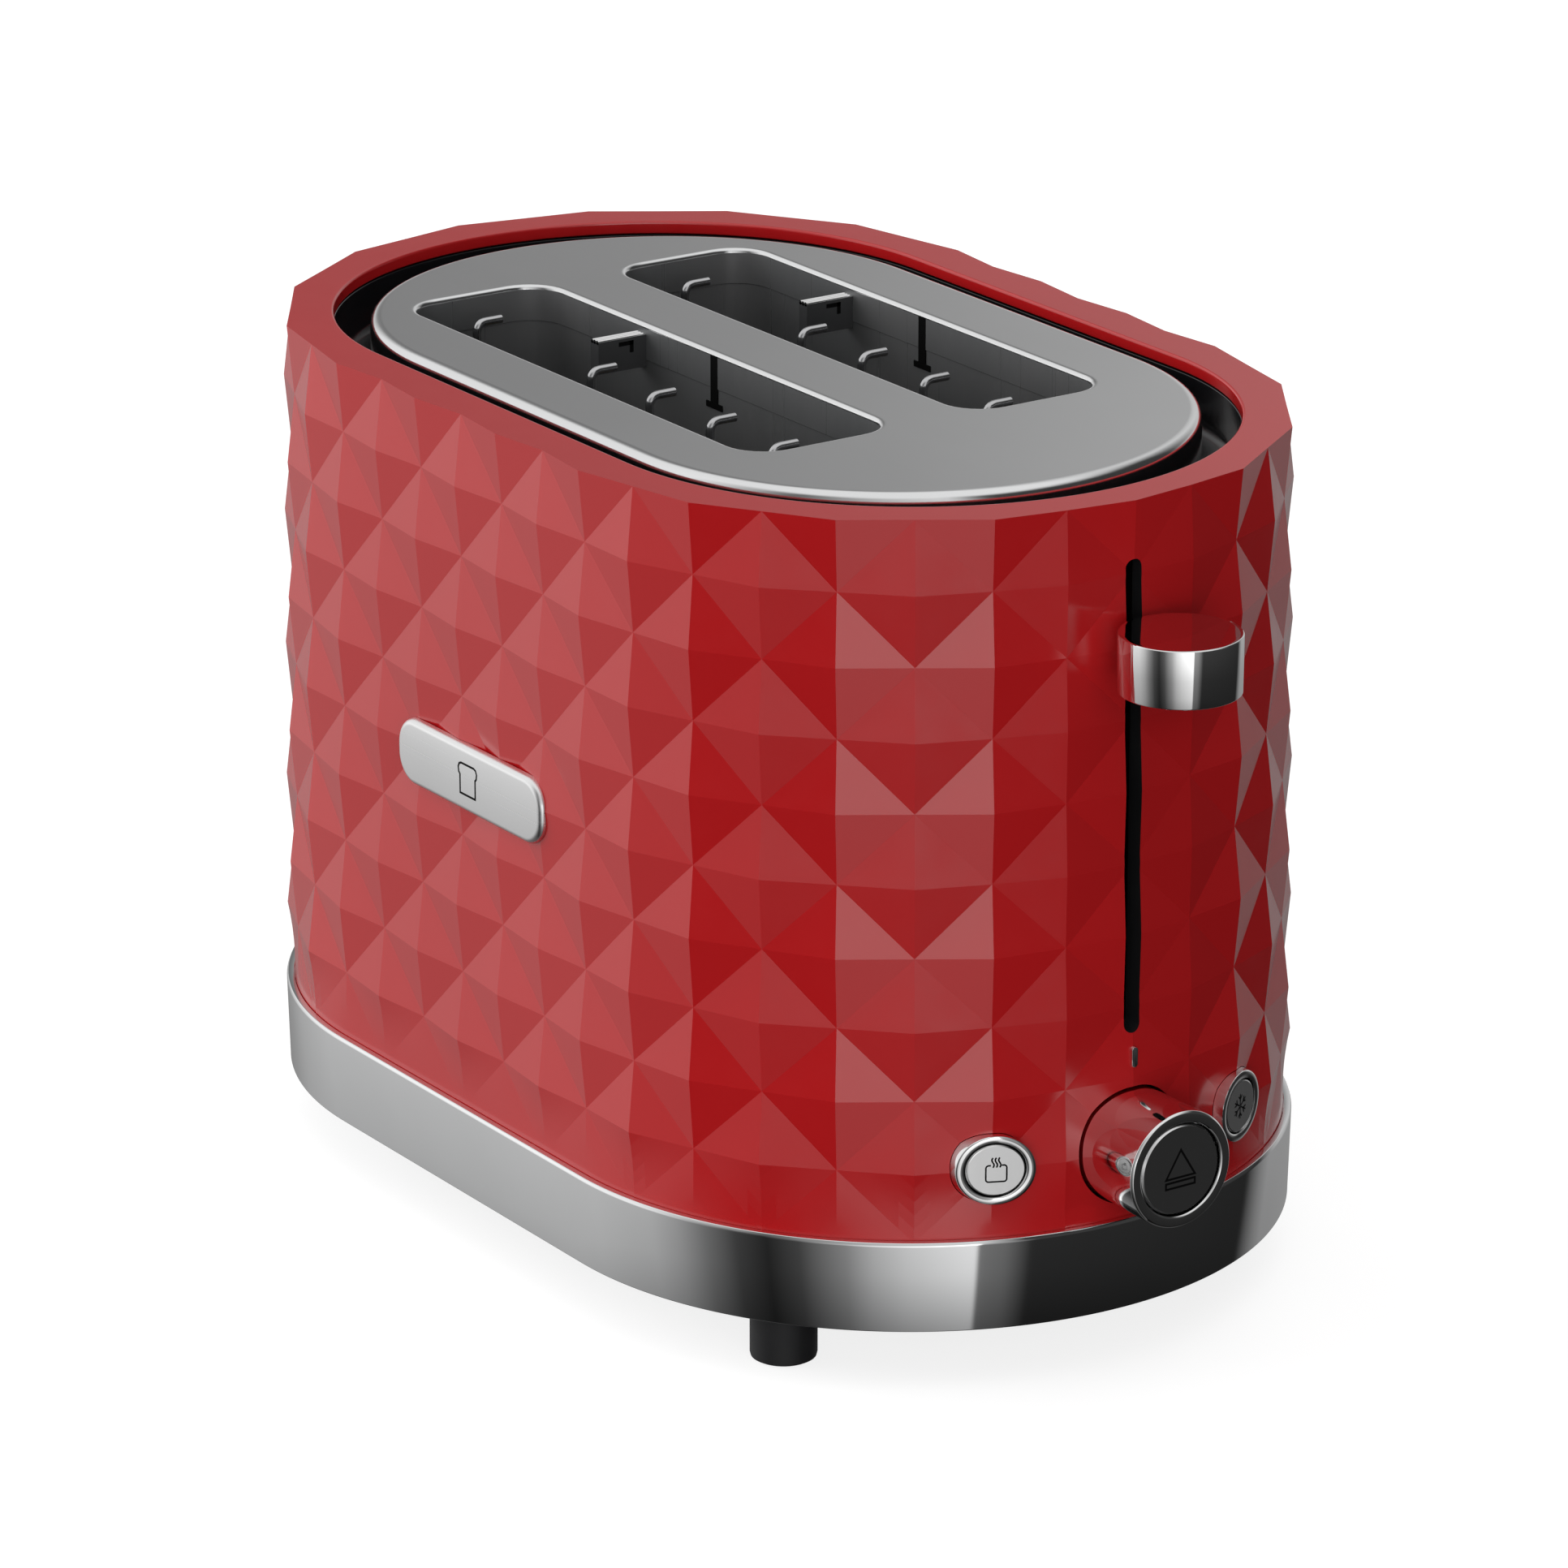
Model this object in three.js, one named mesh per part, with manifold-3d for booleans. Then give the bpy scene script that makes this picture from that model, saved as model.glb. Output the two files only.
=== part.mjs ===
// A two-slice pop-up toaster with a diamond-faceted plastic body, a bright base band, a steel top
// with two bread slots, a round lever cap and a browning knob with a cancel button in its middle.
// Millimetres. +Z is up, Z = 0 is the worktop, +X points at the controls, -Y is the badge side.
import * as THREE from "three";
import { mergeVertices } from "three/addons/utils/BufferGeometryUtils.js";
import Module from "manifold-3d";

const wasm = await Module();
wasm.setup();

// ---------------------------------------------------------------- driving dimensions
const GAP = 0.3; // running gap between neighbouring pieces
const SHEET = 0.9; // steel sheet thickness
const ARC_STEPS = 20; // steps in each half circle of a stadium

// Heights, from the worktop up.
const FOOT_H = 13.4;
const BAND_H = 20.4;
const FACET_ROWS = 10; // half-diamond rows from the rim to the band
const ROW_H = 16.28;
const SHELL_Z = FOOT_H + BAND_H; // bottom of the shell
const RIM_Z = SHELL_Z + FACET_ROWS * ROW_H; // top of the shell

// Plan: every outline is a stadium, two half circles joined by straights.
const BODY = { s: 50, r: 84 }; // valley line of the facets at the rim
const ARC_COLS = 16; // facet columns round each end
const SIDE_COLS = 6; // facet columns along each straight
const FACET_H = 1.7; // how far a diamond's tip stands out
const STRIP_FACET_H = 0.7; // the same on the flattened control strip
const FOOT_FACET_H = 0.3; // the same along the shell's bottom edge
const FLARE = 0.0227; // how much wider the plan is at the bottom than at the rim
const CAVITY = { s: 50, r: 81 }; // inside of the shell
const RIM_INNER = { s: 51, r: 73.5 }; // mouth in the shell's top
const RIM_THICK = 3;
const COLLAR = { wall: 2.4, floor: 2.5, depth: 15, upstand: 5, lap: 2 }; // trough under the rim

const BAND = { s: 51.1, r: 87.8 };
const BAND_WALL = 1.2;
const BAND_LEDGE_R = 82;
const BASE = { s: 51.1, r: 85.7 };
const BASE_Z = FOOT_H + 2;
const BASE_THICK = 3;
const FOOT = { x: 92.4, y: 61.3, r: 7.5 };
const SCREW = { x: 45, y: 68, headR: 3.4, shankR: 1.6 };
const GLAND = { x: -66, y: 66, r: 6 }; // where a mains lead would leave the base

// Top plate and its two bread slots.
const PLATE = { s: 46.3, r: 67.6 };
const PLATE_TOP = RIM_Z - 0.4;
const PLATE_SKIRT = 13;
const PLATE_ROLL = 2.4;
const SLOT = { x: -11.5, length: 144, width: 38, corner: 9, flange: 8.5 };
const SLOT_Y = { near: -28.8, far: 28.8 };
const LINER_Z = [RIM_Z - 38, RIM_Z - 10];

// Lever, carriage and bread racks.
const LEVER_SLOT = { width: 4.2, low: RIM_Z - 120, high: RIM_Z - 13.1 };
const LEVER_CAP = { x: 151, r: 13.4, wall: 1.3, roof: 2, top: RIM_Z - 24.9, height: 13 };
const LEVER_ARM = { thick: 2.6, low: RIM_Z - 36, high: RIM_Z - 29 };
const LANE_SHIFT = 6.95; // the bread lane lies this far towards +Y of its slot's middle
const RACK = { top: 123, width: 10, depth: 8, x0: -84, x1: 62 };
const CARRIAGE_X = 75.3;
const ROD = { x: 86, y: 13, r: 3, low: 19, high: 184 };
const SLEEVE = { low: RACK.top - 5, high: RACK.top + 7 }; // the carriage's bearing on the rod
const SPRING = { turns: 9, wireR: 0.7, low: ROD.low + 0.5, high: SLEEVE.low - GAP };
const MAGNET = { x: [93, 107], y: [-24, -6], z: [BASE_Z + BASE_THICK + GAP, 38] };

// Bread guards: wires that stand on both sides of a lane.
const GUARD_WIRES = 6;
const GUARD_PITCH = 24.2;
const GUARD_WIRE_R = 1;
const GUARD_LOW = 32;
const GUARD_RAIL = 150; // height of the guards' upper rail
const GUARD_TOP = RIM_Z - 2.9; // of the hooks
const GUARD_STEM_TOP = GUARD_TOP - 4; // of the straight part below a hook
const GUARD_PLAIN_TOP = RIM_Z - 24; // of wires without a hook
const HOOK_BEND = 2.6;
const BARE_WIRE = 1; // the one wire of a hooked guard that has no hook, counted from -X
const GUARD_NEAR_SHIFT = -6; // from the slot's middle to the near guard
const GUARD_FAR_SHIFT = 16.4;

// Plain plate on the -Y side.
const BADGE = { x: 6.4, z: RIM_Z - 82.7, length: 60, height: 15.6, front: -87.6, back: -85.6 };

// Controls on the +X end, all on one height.
const CONTROL_Z = RIM_Z - 145.9;
const KNOB = { back: 131.5, front: 154.7, r: 13.4, bore: 10.7, web: 139.5, webThick: 2 };
const BUTTON = { y: 33.2, r: 8, capR: 5.9, face: 133, lean: 22.8 };
const PRESS = 2.5; // travel of every button
const PUSH_ROD_END = 118.1; // of the cancel button
const SHAFT = { r: 4.4, bore: 2.8, back: 116.3 }; // of the knob
const BOARD_X = 110;

// Heat chamber.
const CHAMBER = { x0: -93, x1: 68, y: 57, low: 28.5, high: 178 };
const MICA = { x0: -88, x1: 64, low: 34, high: 174, thick: 1.2, y: 51.5 };
const RIBBON_OFF = MICA.thick / 2 + GAP; // from a board's middle to its ribbon

// Crumb tray, which slides out of the end away from the controls.
const TRAY = { half: 50, x1: 62, low: 19.6, high: 25, floor: 0.8, frontLow: 19.3, frontHigh: 27.7 };
const TRAY_CLEAR = 1.4; // beside the tray, in its window

// ---------------------------------------------------------------- materials
function material(color, roughness, metalness) {
  return () => new THREE.MeshStandardMaterial({ color, roughness, metalness });
}
const redPlastic = material(0xa01216, 0.25, 0);
const blackPlastic = material(0x101010, 0.35, 0);
const chrome = material(0xd8dadc, 0.06, 1);
const brushedSteel = material(0x9a9c9e, 0.35, 1);
const sheetSteel = material(0x8b8d90, 0.45, 1);
const springSteel = material(0x777a7e, 0.4, 1);
const rubber = material(0x161616, 0.8, 0);
const mica = material(0xcdb98c, 0.7, 0);
const nichrome = material(0x6d625c, 0.5, 1);
const board = material(0x2f5a38, 0.6, 0);
const copper = material(0xa4552b, 0.4, 1);

// ---------------------------------------------------------------- geometry helpers
// A closed geometry as a manifold solid, whatever attributes it carries.
function solid(geometry) {
  const bare = geometry.clone();
  bare.deleteAttribute("normal");
  bare.deleteAttribute("uv");
  const merged = mergeVertices(bare, 1e-4);
  return new wasm.Manifold(
    new wasm.Mesh({
      numProp: 3,
      vertProperties: new Float32Array(merged.attributes.position.array),
      triVerts: new Uint32Array(merged.index.array),
    }),
  );
}

function geometryOf(made) {
  const { vertProperties, triVerts } = made.getMesh();
  const geometry = new THREE.BufferGeometry();
  geometry.setAttribute("position", new THREE.BufferAttribute(vertProperties, 3));
  geometry.setIndex(new THREE.BufferAttribute(triVerts, 1));
  return geometry.toNonIndexed();
}

function box([x0, x1], [y0, y1], [z0, z1]) {
  const geometry = new THREE.BoxGeometry(x1 - x0, y1 - y0, z1 - z0);
  return solid(geometry.translate((x0 + x1) / 2, (y0 + y1) / 2, (z0 + z1) / 2));
}

function union(...solids) {
  return solids.reduce((a, b) => a.add(b));
}

// An outline in the XY plane, raised from z0 to z1.
function prism(shape, [z0, z1], curveSegments = 12) {
  const options = { depth: z1 - z0, bevelEnabled: false, curveSegments };
  return solid(new THREE.ExtrudeGeometry(shape, options).translate(0, 0, z0));
}

// An outline whose x and y mean Y and Z, raised along X from x0 to x1.
function prismX(shape, [x0, x1], curveSegments = 12) {
  const geometry = new THREE.ExtrudeGeometry(shape, { depth: x1 - x0, bevelEnabled: false, curveSegments });
  geometry.rotateX(Math.PI / 2).rotateZ(Math.PI / 2);
  return solid(geometry.translate(x0, 0, 0));
}

// An outline whose x and y mean X and Z, raised along Y from y0 to y1.
function prismY(shape, [y0, y1], curveSegments = 12) {
  const geometry = new THREE.ExtrudeGeometry(shape, { depth: y1 - y0, bevelEnabled: false, curveSegments });
  return solid(geometry.rotateX(Math.PI / 2).translate(0, y1, 0));
}

function stadiumShape({ s, r }) {
  const shape = new THREE.Shape();
  shape.absarc(s, 0, r, -Math.PI / 2, Math.PI / 2, false);
  shape.absarc(-s, 0, r, Math.PI / 2, (3 * Math.PI) / 2, false);
  shape.closePath();
  return shape;
}

// The same outline raised from z0 to z1. Curves get two steps for each segment asked for.
function stadiumPrism(outline, span) {
  return prism(stadiumShape(outline), span, ARC_STEPS / 2);
}

// A rectangle with round corners about (x, y).
function roundedRect(x, y, length, width, corner) {
  const [a, b] = [length / 2 - corner, width / 2 - corner];
  const shape = new THREE.Shape();
  shape.absarc(x + a, y + b, corner, 0, Math.PI / 2, false);
  shape.absarc(x - a, y + b, corner, Math.PI / 2, Math.PI, false);
  shape.absarc(x - a, y - b, corner, Math.PI, (3 * Math.PI) / 2, false);
  shape.absarc(x + a, y - b, corner, (3 * Math.PI) / 2, 2 * Math.PI, false);
  shape.closePath();
  return shape;
}

// A closed profile of [radius, z] points carried round a stadium with straights of 2 * s.
function stadiumSweep(s, profile, arcSegments = ARC_STEPS) {
  const outline = [];
  for (const side of [1, -1]) {
    for (let i = 0; i <= arcSegments; i++) {
      const angle = (side > 0 ? -Math.PI / 2 : Math.PI / 2) + (Math.PI * i) / arcSegments;
      outline.push([side * s, Math.cos(angle), Math.sin(angle)]);
    }
  }
  const [n, m] = [outline.length, profile.length];
  const positions = [];
  for (const [x, c, d] of outline) {
    for (const [r, z] of profile) positions.push(x + r * c, r * d, z);
  }
  const index = [];
  for (let i = 0; i < n; i++) {
    for (let j = 0; j < m; j++) {
      const a = i * m + j;
      const b = ((i + 1) % n) * m + j;
      const c = ((i + 1) % n) * m + ((j + 1) % m);
      const d = i * m + ((j + 1) % m);
      index.push(a, b, c, a, c, d);
    }
  }
  const geometry = new THREE.BufferGeometry();
  geometry.setAttribute("position", new THREE.Float32BufferAttribute(positions, 3));
  geometry.setIndex(index);
  return solid(geometry);
}

// A profile of [radius, height] points turned about a line along X or Z.
function turned(profile, axis, sides = 40) {
  const points = profile.map(([r, h]) => new THREE.Vector2(r, h));
  const geometry = new THREE.LatheGeometry(points, sides);
  return solid(axis === "x" ? geometry.rotateZ(-Math.PI / 2) : geometry.rotateX(Math.PI / 2));
}

function rodX(r, [x0, x1], y, z, sides = 24) {
  const geometry = new THREE.CylinderGeometry(r, r, x1 - x0, sides).rotateZ(Math.PI / 2);
  return solid(geometry.translate((x0 + x1) / 2, y, z));
}

function rodZ(r, x, y, [z0, z1], sides = 24) {
  const geometry = new THREE.CylinderGeometry(r, r, z1 - z0, sides).rotateX(Math.PI / 2);
  return solid(geometry.translate(x, y, (z0 + z1) / 2));
}

// Pieces are placed about the body's own middle; the assembly then stands so that the whole
// object, with its lever ring, is centred on the origin.
const toaster = new THREE.Group();
const assembly = new THREE.Group();
assembly.position.x = (BAND.s + BAND.r - LEVER_CAP.x - LEVER_CAP.r) / 2;
toaster.add(assembly);

function addPiece(name, made, look, position = [0, 0, 0]) {
  const mesh = new THREE.Mesh(geometryOf(made), look());
  mesh.name = name;
  mesh.position.set(...position);
  assembly.add(mesh);
}

// ---------------------------------------------------------------- shell
// Where facet column c meets the plan outline, and which way is outwards there.
function columnPoint(c) {
  const total = 2 * (ARC_COLS + SIDE_COLS);
  const k = (((c + ARC_COLS / 2) % total) + total) % total;
  const half = k % (total / 2);
  const sign = k < total / 2 ? 1 : -1;
  const angle = -Math.PI / 2 + (Math.PI * Math.min(half, ARC_COLS)) / ARC_COLS;
  const along = Math.max(0, half - ARC_COLS) / SIDE_COLS;
  const x = BODY.s * (1 - 2 * along) + BODY.r * Math.cos(angle);
  const y = BODY.r * Math.sin(angle);
  return { x: sign * x, y: sign * y, nx: sign * Math.cos(angle), ny: sign * Math.sin(angle) };
}

function facetHeight(c, row) {
  if ((c + row) % 2 !== 0) return 0;
  if (row === FACET_ROWS) return FOOT_FACET_H;
  const total = 2 * (ARC_COLS + SIDE_COLS);
  const fromStrip = Math.min(c, total - c);
  return fromStrip <= 1 ? STRIP_FACET_H : FACET_H;
}

// The outside of the shell as one full body: diamonds with raised tips, and flat ends.
function facetedBody() {
  const cols = 2 * (ARC_COLS + SIDE_COLS);
  const positions = [];
  for (let row = 0; row <= FACET_ROWS; row++) {
    const grow = 1 + (FLARE * row) / FACET_ROWS;
    for (let c = 0; c < cols; c++) {
      const p = columnPoint(c);
      const h = facetHeight(c, row);
      positions.push(p.x * grow + p.nx * h, p.y * grow + p.ny * h, RIM_Z - row * ROW_H);
    }
  }
  const top = positions.length / 3;
  positions.push(0, 0, RIM_Z, 0, 0, SHELL_Z);
  const index = [];
  const at = (row, c) => row * cols + (c % cols);
  for (let row = 0; row < FACET_ROWS; row++) {
    for (let c = 0; c < cols; c++) {
      const [a, b] = [at(row, c), at(row, c + 1)];
      const [d, e] = [at(row + 1, c), at(row + 1, c + 1)];
      // The crease joins the two low corners of each cell.
      if ((c + row) % 2 === 0) index.push(a, d, b, b, d, e);
      else index.push(a, d, e, a, e, b);
    }
  }
  for (let c = 0; c < cols; c++) {
    index.push(top, at(0, c), at(0, c + 1));
    index.push(top + 1, at(FACET_ROWS, c + 1), at(FACET_ROWS, c));
  }
  const geometry = new THREE.BufferGeometry();
  geometry.setAttribute("position", new THREE.Float32BufferAttribute(positions, 3));
  geometry.setIndex(index);
  return solid(geometry);
}

function mouthCut() {
  return stadiumPrism(RIM_INNER, [RIM_Z - RIM_THICK - 5, RIM_Z + 5]);
}

function controlCuts() {
  const mid = (LEVER_SLOT.low + LEVER_SLOT.high) / 2;
  const height = LEVER_SLOT.high - LEVER_SLOT.low;
  const { width } = LEVER_SLOT;
  const reach = [100, 160];
  return union(
    prismX(roundedRect(0, mid, width, height, width / 2 - 0.01), reach, 6),
    rodX(KNOB.r + 0.25, reach, 0, CONTROL_Z, 32),
    rodX(BUTTON.r + GAP, reach, BUTTON.y, CONTROL_Z, 24),
    rodX(BUTTON.r + GAP, reach, -BUTTON.y, CONTROL_Z, 24),
    prismX(pillShape(GAP), reach, 6),
  );
}

function outerShell() {
  const wallTop = RIM_Z - RIM_THICK;
  const cavity = stadiumPrism(CAVITY, [SHELL_Z - 5, wallTop]);
  const badgePocket = prismY(badgeShape(GAP), [-100, BADGE.back + GAP], 10);
  return facetedBody().subtract(cavity).subtract(mouthCut()).subtract(controlCuts())
    .subtract(badgePocket);
}

// Small oval index mark above the knob.
function pillShape(grow = 0) {
  const [width, height] = [1.6 + 2 * grow, 4.7 + 2 * grow];
  return roundedRect(0, RIM_Z - 125.4, width, height, width / 2 - 0.01);
}

function badgeShape(grow = 0) {
  const corner = BADGE.height / 2 - 1 + grow;
  return roundedRect(BADGE.x, BADGE.z, BADGE.length + 2 * grow, BADGE.height + 2 * grow, corner);
}

addPiece("outer_shell", outerShell(), redPlastic);
addPiece("badge", prismY(badgeShape(), [BADGE.front, BADGE.back], 10), chrome);
addPiece("index_mark", prismX(pillShape(), [133.5, 137.6], 6), chrome);

// ---------------------------------------------------------------- top plate, collar and liners
function rollProfile(r, top, roll, steps = 3) {
  const points = [];
  for (let i = 0; i <= steps; i++) {
    const angle = (Math.PI / 2) * (i / steps);
    points.push([r - roll + roll * Math.cos(angle), top - roll + roll * Math.sin(angle)]);
  }
  return points;
}

function slotShape(y, grow = 0) {
  const { x, length, width, corner } = SLOT;
  return roundedRect(x, y, length + 2 * grow, width + 2 * grow, corner + grow);
}

function topPlate() {
  const { s, r } = PLATE;
  const edge = 12; // width of the swept rim; the middle is a plain sheet
  const outer = rollProfile(r, PLATE_TOP, PLATE_ROLL);
  const inner = rollProfile(r - SHEET, PLATE_TOP - SHEET, PLATE_ROLL - SHEET).reverse();
  const low = PLATE_TOP - PLATE_SKIRT;
  const profile = [[r, low], ...outer, [r - edge, PLATE_TOP], [r - edge, PLATE_TOP - SHEET], ...inner,
    [r - SHEET, low]];
  const sheet = stadiumPrism({ s, r: r - edge + 1 }, [PLATE_TOP - SHEET, PLATE_TOP]);
  let plate = stadiumSweep(s, profile).add(sheet);
  for (const y of Object.values(SLOT_Y)) {
    plate = plate.add(prism(slotShape(y, SHEET), [PLATE_TOP - SLOT.flange, PLATE_TOP], 6));
  }
  for (const y of Object.values(SLOT_Y)) {
    plate = plate.subtract(prism(slotShape(y), [PLATE_TOP - 20, PLATE_TOP + 5], 6));
  }
  return plate;
}

// Black trough that fills the gap between the plate's skirt and the shell's rim.
function topCollar() {
  const { s, r } = RIM_INNER;
  const floorTop = RIM_Z - COLLAR.depth;
  const low = floorTop - COLLAR.floor;
  const outer = stadiumPrism({ s, r: r + COLLAR.wall }, [low, RIM_Z - RIM_THICK - GAP]);
  const trough = stadiumPrism(RIM_INNER, [floorTop, RIM_Z]);
  const inside = { s: PLATE.s, r: PLATE.r - SHEET - GAP };
  const upstand = stadiumPrism(inside, [low, floorTop + COLLAR.upstand]);
  const hole = stadiumPrism({ s: PLATE.s, r: inside.r - COLLAR.lap }, [low - 5, RIM_Z]);
  return outer.subtract(trough).add(upstand).subtract(hole);
}

function slotLiner(y) {
  return prism(slotShape(y, 1 + SHEET), LINER_Z, 6).subtract(
    prism(slotShape(y, 1), [LINER_Z[0] - 5, LINER_Z[1] + 5], 6),
  );
}

addPiece("top_plate", topPlate(), brushedSteel);
addPiece("top_collar", topCollar(), blackPlastic);
for (const [side, y] of Object.entries(SLOT_Y)) {
  const flangeLow = PLATE_TOP - SLOT.flange;
  const clear = prism(slotShape(y, 8), [flangeLow - GAP, flangeLow + 30], 6);
  addPiece("slot_liner_" + side, slotLiner(y).subtract(clear), sheetSteel);
}

// ---------------------------------------------------------------- base band, base plate, feet
// The way out for the crumb tray, from height low upwards.
function trayWindow(low) {
  const half = TRAY.half + TRAY_CLEAR;
  return box([-160, -60], [-half, half], [low, TRAY.frontHigh + GAP]);
}

function baseBand() {
  const { s, r } = BAND;
  const inner = r - BAND_WALL;
  const ledgeTop = SHELL_Z - GAP;
  const profile = [[r - 0.5, FOOT_H], [r, SHELL_Z + 0.1], [r - 0.5, SHELL_Z + 0.6],
    [inner + 0.2, SHELL_Z + 0.6], [inner, ledgeTop], [BAND_LEDGE_R, ledgeTop],
    [BAND_LEDGE_R, ledgeTop - 1.6], [inner, ledgeTop - 1.6], [inner, FOOT_H]];
  return stadiumSweep(s, profile, ARC_STEPS + 8).subtract(trayWindow(TRAY.frontLow - GAP));
}

function basePlate() {
  const top = BASE_Z + BASE_THICK;
  const upstand = { s: CAVITY.s, r: CAVITY.r - GAP };
  let plate = stadiumPrism(BASE, [BASE_Z, top])
    .add(stadiumPrism(upstand, [top - 1, SHELL_Z + 6]))
    .subtract(stadiumPrism({ s: upstand.s, r: upstand.r - 2 }, [top, SHELL_Z + 20]))
    .subtract(trayWindow(top));
  for (const x of [-SCREW.x, SCREW.x]) {
    for (const y of [-SCREW.y, SCREW.y]) {
      plate = plate.subtract(rodZ(SCREW.shankR + GAP, x, y, [BASE_Z - 5, top + 5], 12));
    }
  }
  plate = plate.subtract(rodZ(GLAND.r - 1.5 + GAP, GLAND.x, GLAND.y, [BASE_Z - 5, top + 5], 20));
  for (let i = 0; i < 7; i++) {
    const x = -36 + 14 * i;
    for (const y of [-24, 24]) {
      plate = plate.subtract(box([x - 2, x + 2], [y - 16, y + 16], [BASE_Z - 5, top + 5]));
    }
  }
  return plate;
}

function foot() {
  const top = BASE_Z - GAP;
  const { r } = FOOT;
  return turned([[0, 0], [r - 1, 0], [r - 0.3, 0.3], [r, 1], [r, top], [0, top]], "z", 24);
}

function baseScrew() {
  const head = BASE_Z - GAP;
  const profile = [[0, head - 2], [SCREW.headR - 0.8, head - 2], [SCREW.headR, head - 1],
    [SCREW.headR, head], [SCREW.shankR, head], [SCREW.shankR, head + 14], [0, head + 14]];
  return turned(profile, "z", 16).subtract(box([-2.2, 2.2], [-0.4, 0.4], [head - 4, head - 1.2]))
    .subtract(box([-0.4, 0.4], [-2.2, 2.2], [head - 4, head - 1.2]));
}

// Bush that the mains lead would leave through.
function cordGland() {
  const [low, high] = [BASE_Z - GAP, BASE_Z + BASE_THICK + GAP];
  const neck = GLAND.r - 1.5;
  const profile = [[3, low - 4], [GLAND.r - 1, low - 4], [GLAND.r, low - 1], [GLAND.r, low],
    [neck, low], [neck, high], [GLAND.r, high], [GLAND.r, high + 1.5], [3, high + 1.5]];
  return turned([...profile, profile[0]], "z", 16);
}

addPiece("base_band", baseBand(), chrome);
addPiece("base_plate", basePlate(), blackPlastic);
for (const [endName, sx] of [["front", 1], ["rear", -1]]) {
  for (const [sideName, sy] of [["near", -1], ["far", 1]]) {
    addPiece(`foot_${endName}_${sideName}`, foot(), rubber, [sx * FOOT.x, sy * FOOT.y, 0]);
    addPiece(`base_screw_${endName}_${sideName}`, baseScrew(), springSteel,
      [sx * SCREW.x, sy * SCREW.y, 0]);
  }
}
addPiece("cord_gland", cordGland(), rubber, [GLAND.x, GLAND.y, 0]);

// ---------------------------------------------------------------- crumb tray
function crumbTray() {
  const { half, x1, low, high, floor } = TRAY;
  const bounds = box([-160, x1], [-half, half], [low, high]);
  const hollow = box([-160, x1 - floor], [-half + floor, half - floor], [low + floor, high + 5]);
  const rearWall = 2;
  const outline = { s: BAND.s, r: BAND.r - 4 - GAP };
  const body = stadiumPrism(outline, [low, high]).intersect(bounds);
  const inside = stadiumPrism({ s: outline.s, r: outline.r - rearWall }, [low - 1, high + 6]);
  return body.subtract(hollow.intersect(inside));
}

function crumbTrayFront() {
  const { half, frontLow, frontHigh } = TRAY;
  const [outer, inner] = [BAND.r - 0.1, BAND.r - 4];
  const ring = stadiumSweep(BAND.s, [[inner, 15], [outer, 15], [outer, 40], [inner, 40]], ARC_STEPS + 8);
  const panel = ring.intersect(box([-160, -60], [-half - 1, half + 1], [frontLow, frontHigh]));
  return panel.subtract(box([-160, -BAND.s - BAND.r + 1.5], [-18, 18], [frontLow - 5, frontLow + 3]));
}

addPiece("crumb_tray", crumbTray(), sheetSteel);
addPiece("crumb_tray_front", crumbTrayFront(), chrome);

// ---------------------------------------------------------------- heat chamber
function endPlate(x, withSlots) {
  const { y, low, high } = CHAMBER;
  let plate = box([x, x + 1], [-y - 4, y + 4], [low, high]);
  if (withSlots) {
    for (const lane of Object.values(SLOT_Y)) {
      const mid = lane + LANE_SHIFT;
      plate = plate.subtract(box([x - 5, x + 5], [mid - 2.6, mid + 2.6], [low + 2, RACK.top + 22]));
    }
  }
  return plate;
}

// The serpentine as runs joined at alternate ends.
function heatingRibbon(y0) {
  const { x0, x1, low, high } = MICA;
  const [left, right] = [x0 + 8, x1 - 8];
  const runs = 9;
  const width = 2.4;
  const step = (high - low - 30) / (runs - 1);
  const pieces = [];
  for (let i = 0; i < runs; i++) {
    const z = low + 15 + i * step;
    pieces.push(box([left, right], [y0, y0 + 0.3], [z, z + width]));
    if (i === runs - 1) break;
    const x = i % 2 === 0 ? right - width : left;
    pieces.push(box([x, x + width], [y0, y0 + 0.3], [z, z + step + width]));
  }
  return union(...pieces);
}

addPiece("end_plate_front", endPlate(CHAMBER.x1, true), sheetSteel);
addPiece("end_plate_rear", endPlate(CHAMBER.x0, false), sheetSteel);
for (const [side, sign] of [["near", -1], ["far", 1]]) {
  const y = sign * CHAMBER.y;
  const wall = box([CHAMBER.x0 + 1 + GAP, CHAMBER.x1 - GAP], [y - 0.4, y + 0.4],
    [CHAMBER.low, CHAMBER.high]);
  addPiece("reflector_" + side, wall, sheetSteel);
}
for (const [side, y] of [["near", -MICA.y], ["centre", 0], ["far", MICA.y]]) {
  const sheet = box([MICA.x0, MICA.x1], [y - MICA.thick / 2, y + MICA.thick / 2], [MICA.low, MICA.high]);
  addPiece("heater_board_" + side, sheet, mica);
}
addPiece("heating_ribbon_near", heatingRibbon(-MICA.y + RIBBON_OFF), nichrome);
addPiece("heating_ribbon_centre_near", heatingRibbon(-RIBBON_OFF - 0.3), nichrome);
addPiece("heating_ribbon_centre_far", heatingRibbon(RIBBON_OFF), nichrome);
addPiece("heating_ribbon_far", heatingRibbon(MICA.y - RIBBON_OFF - 0.3), nichrome);

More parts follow.
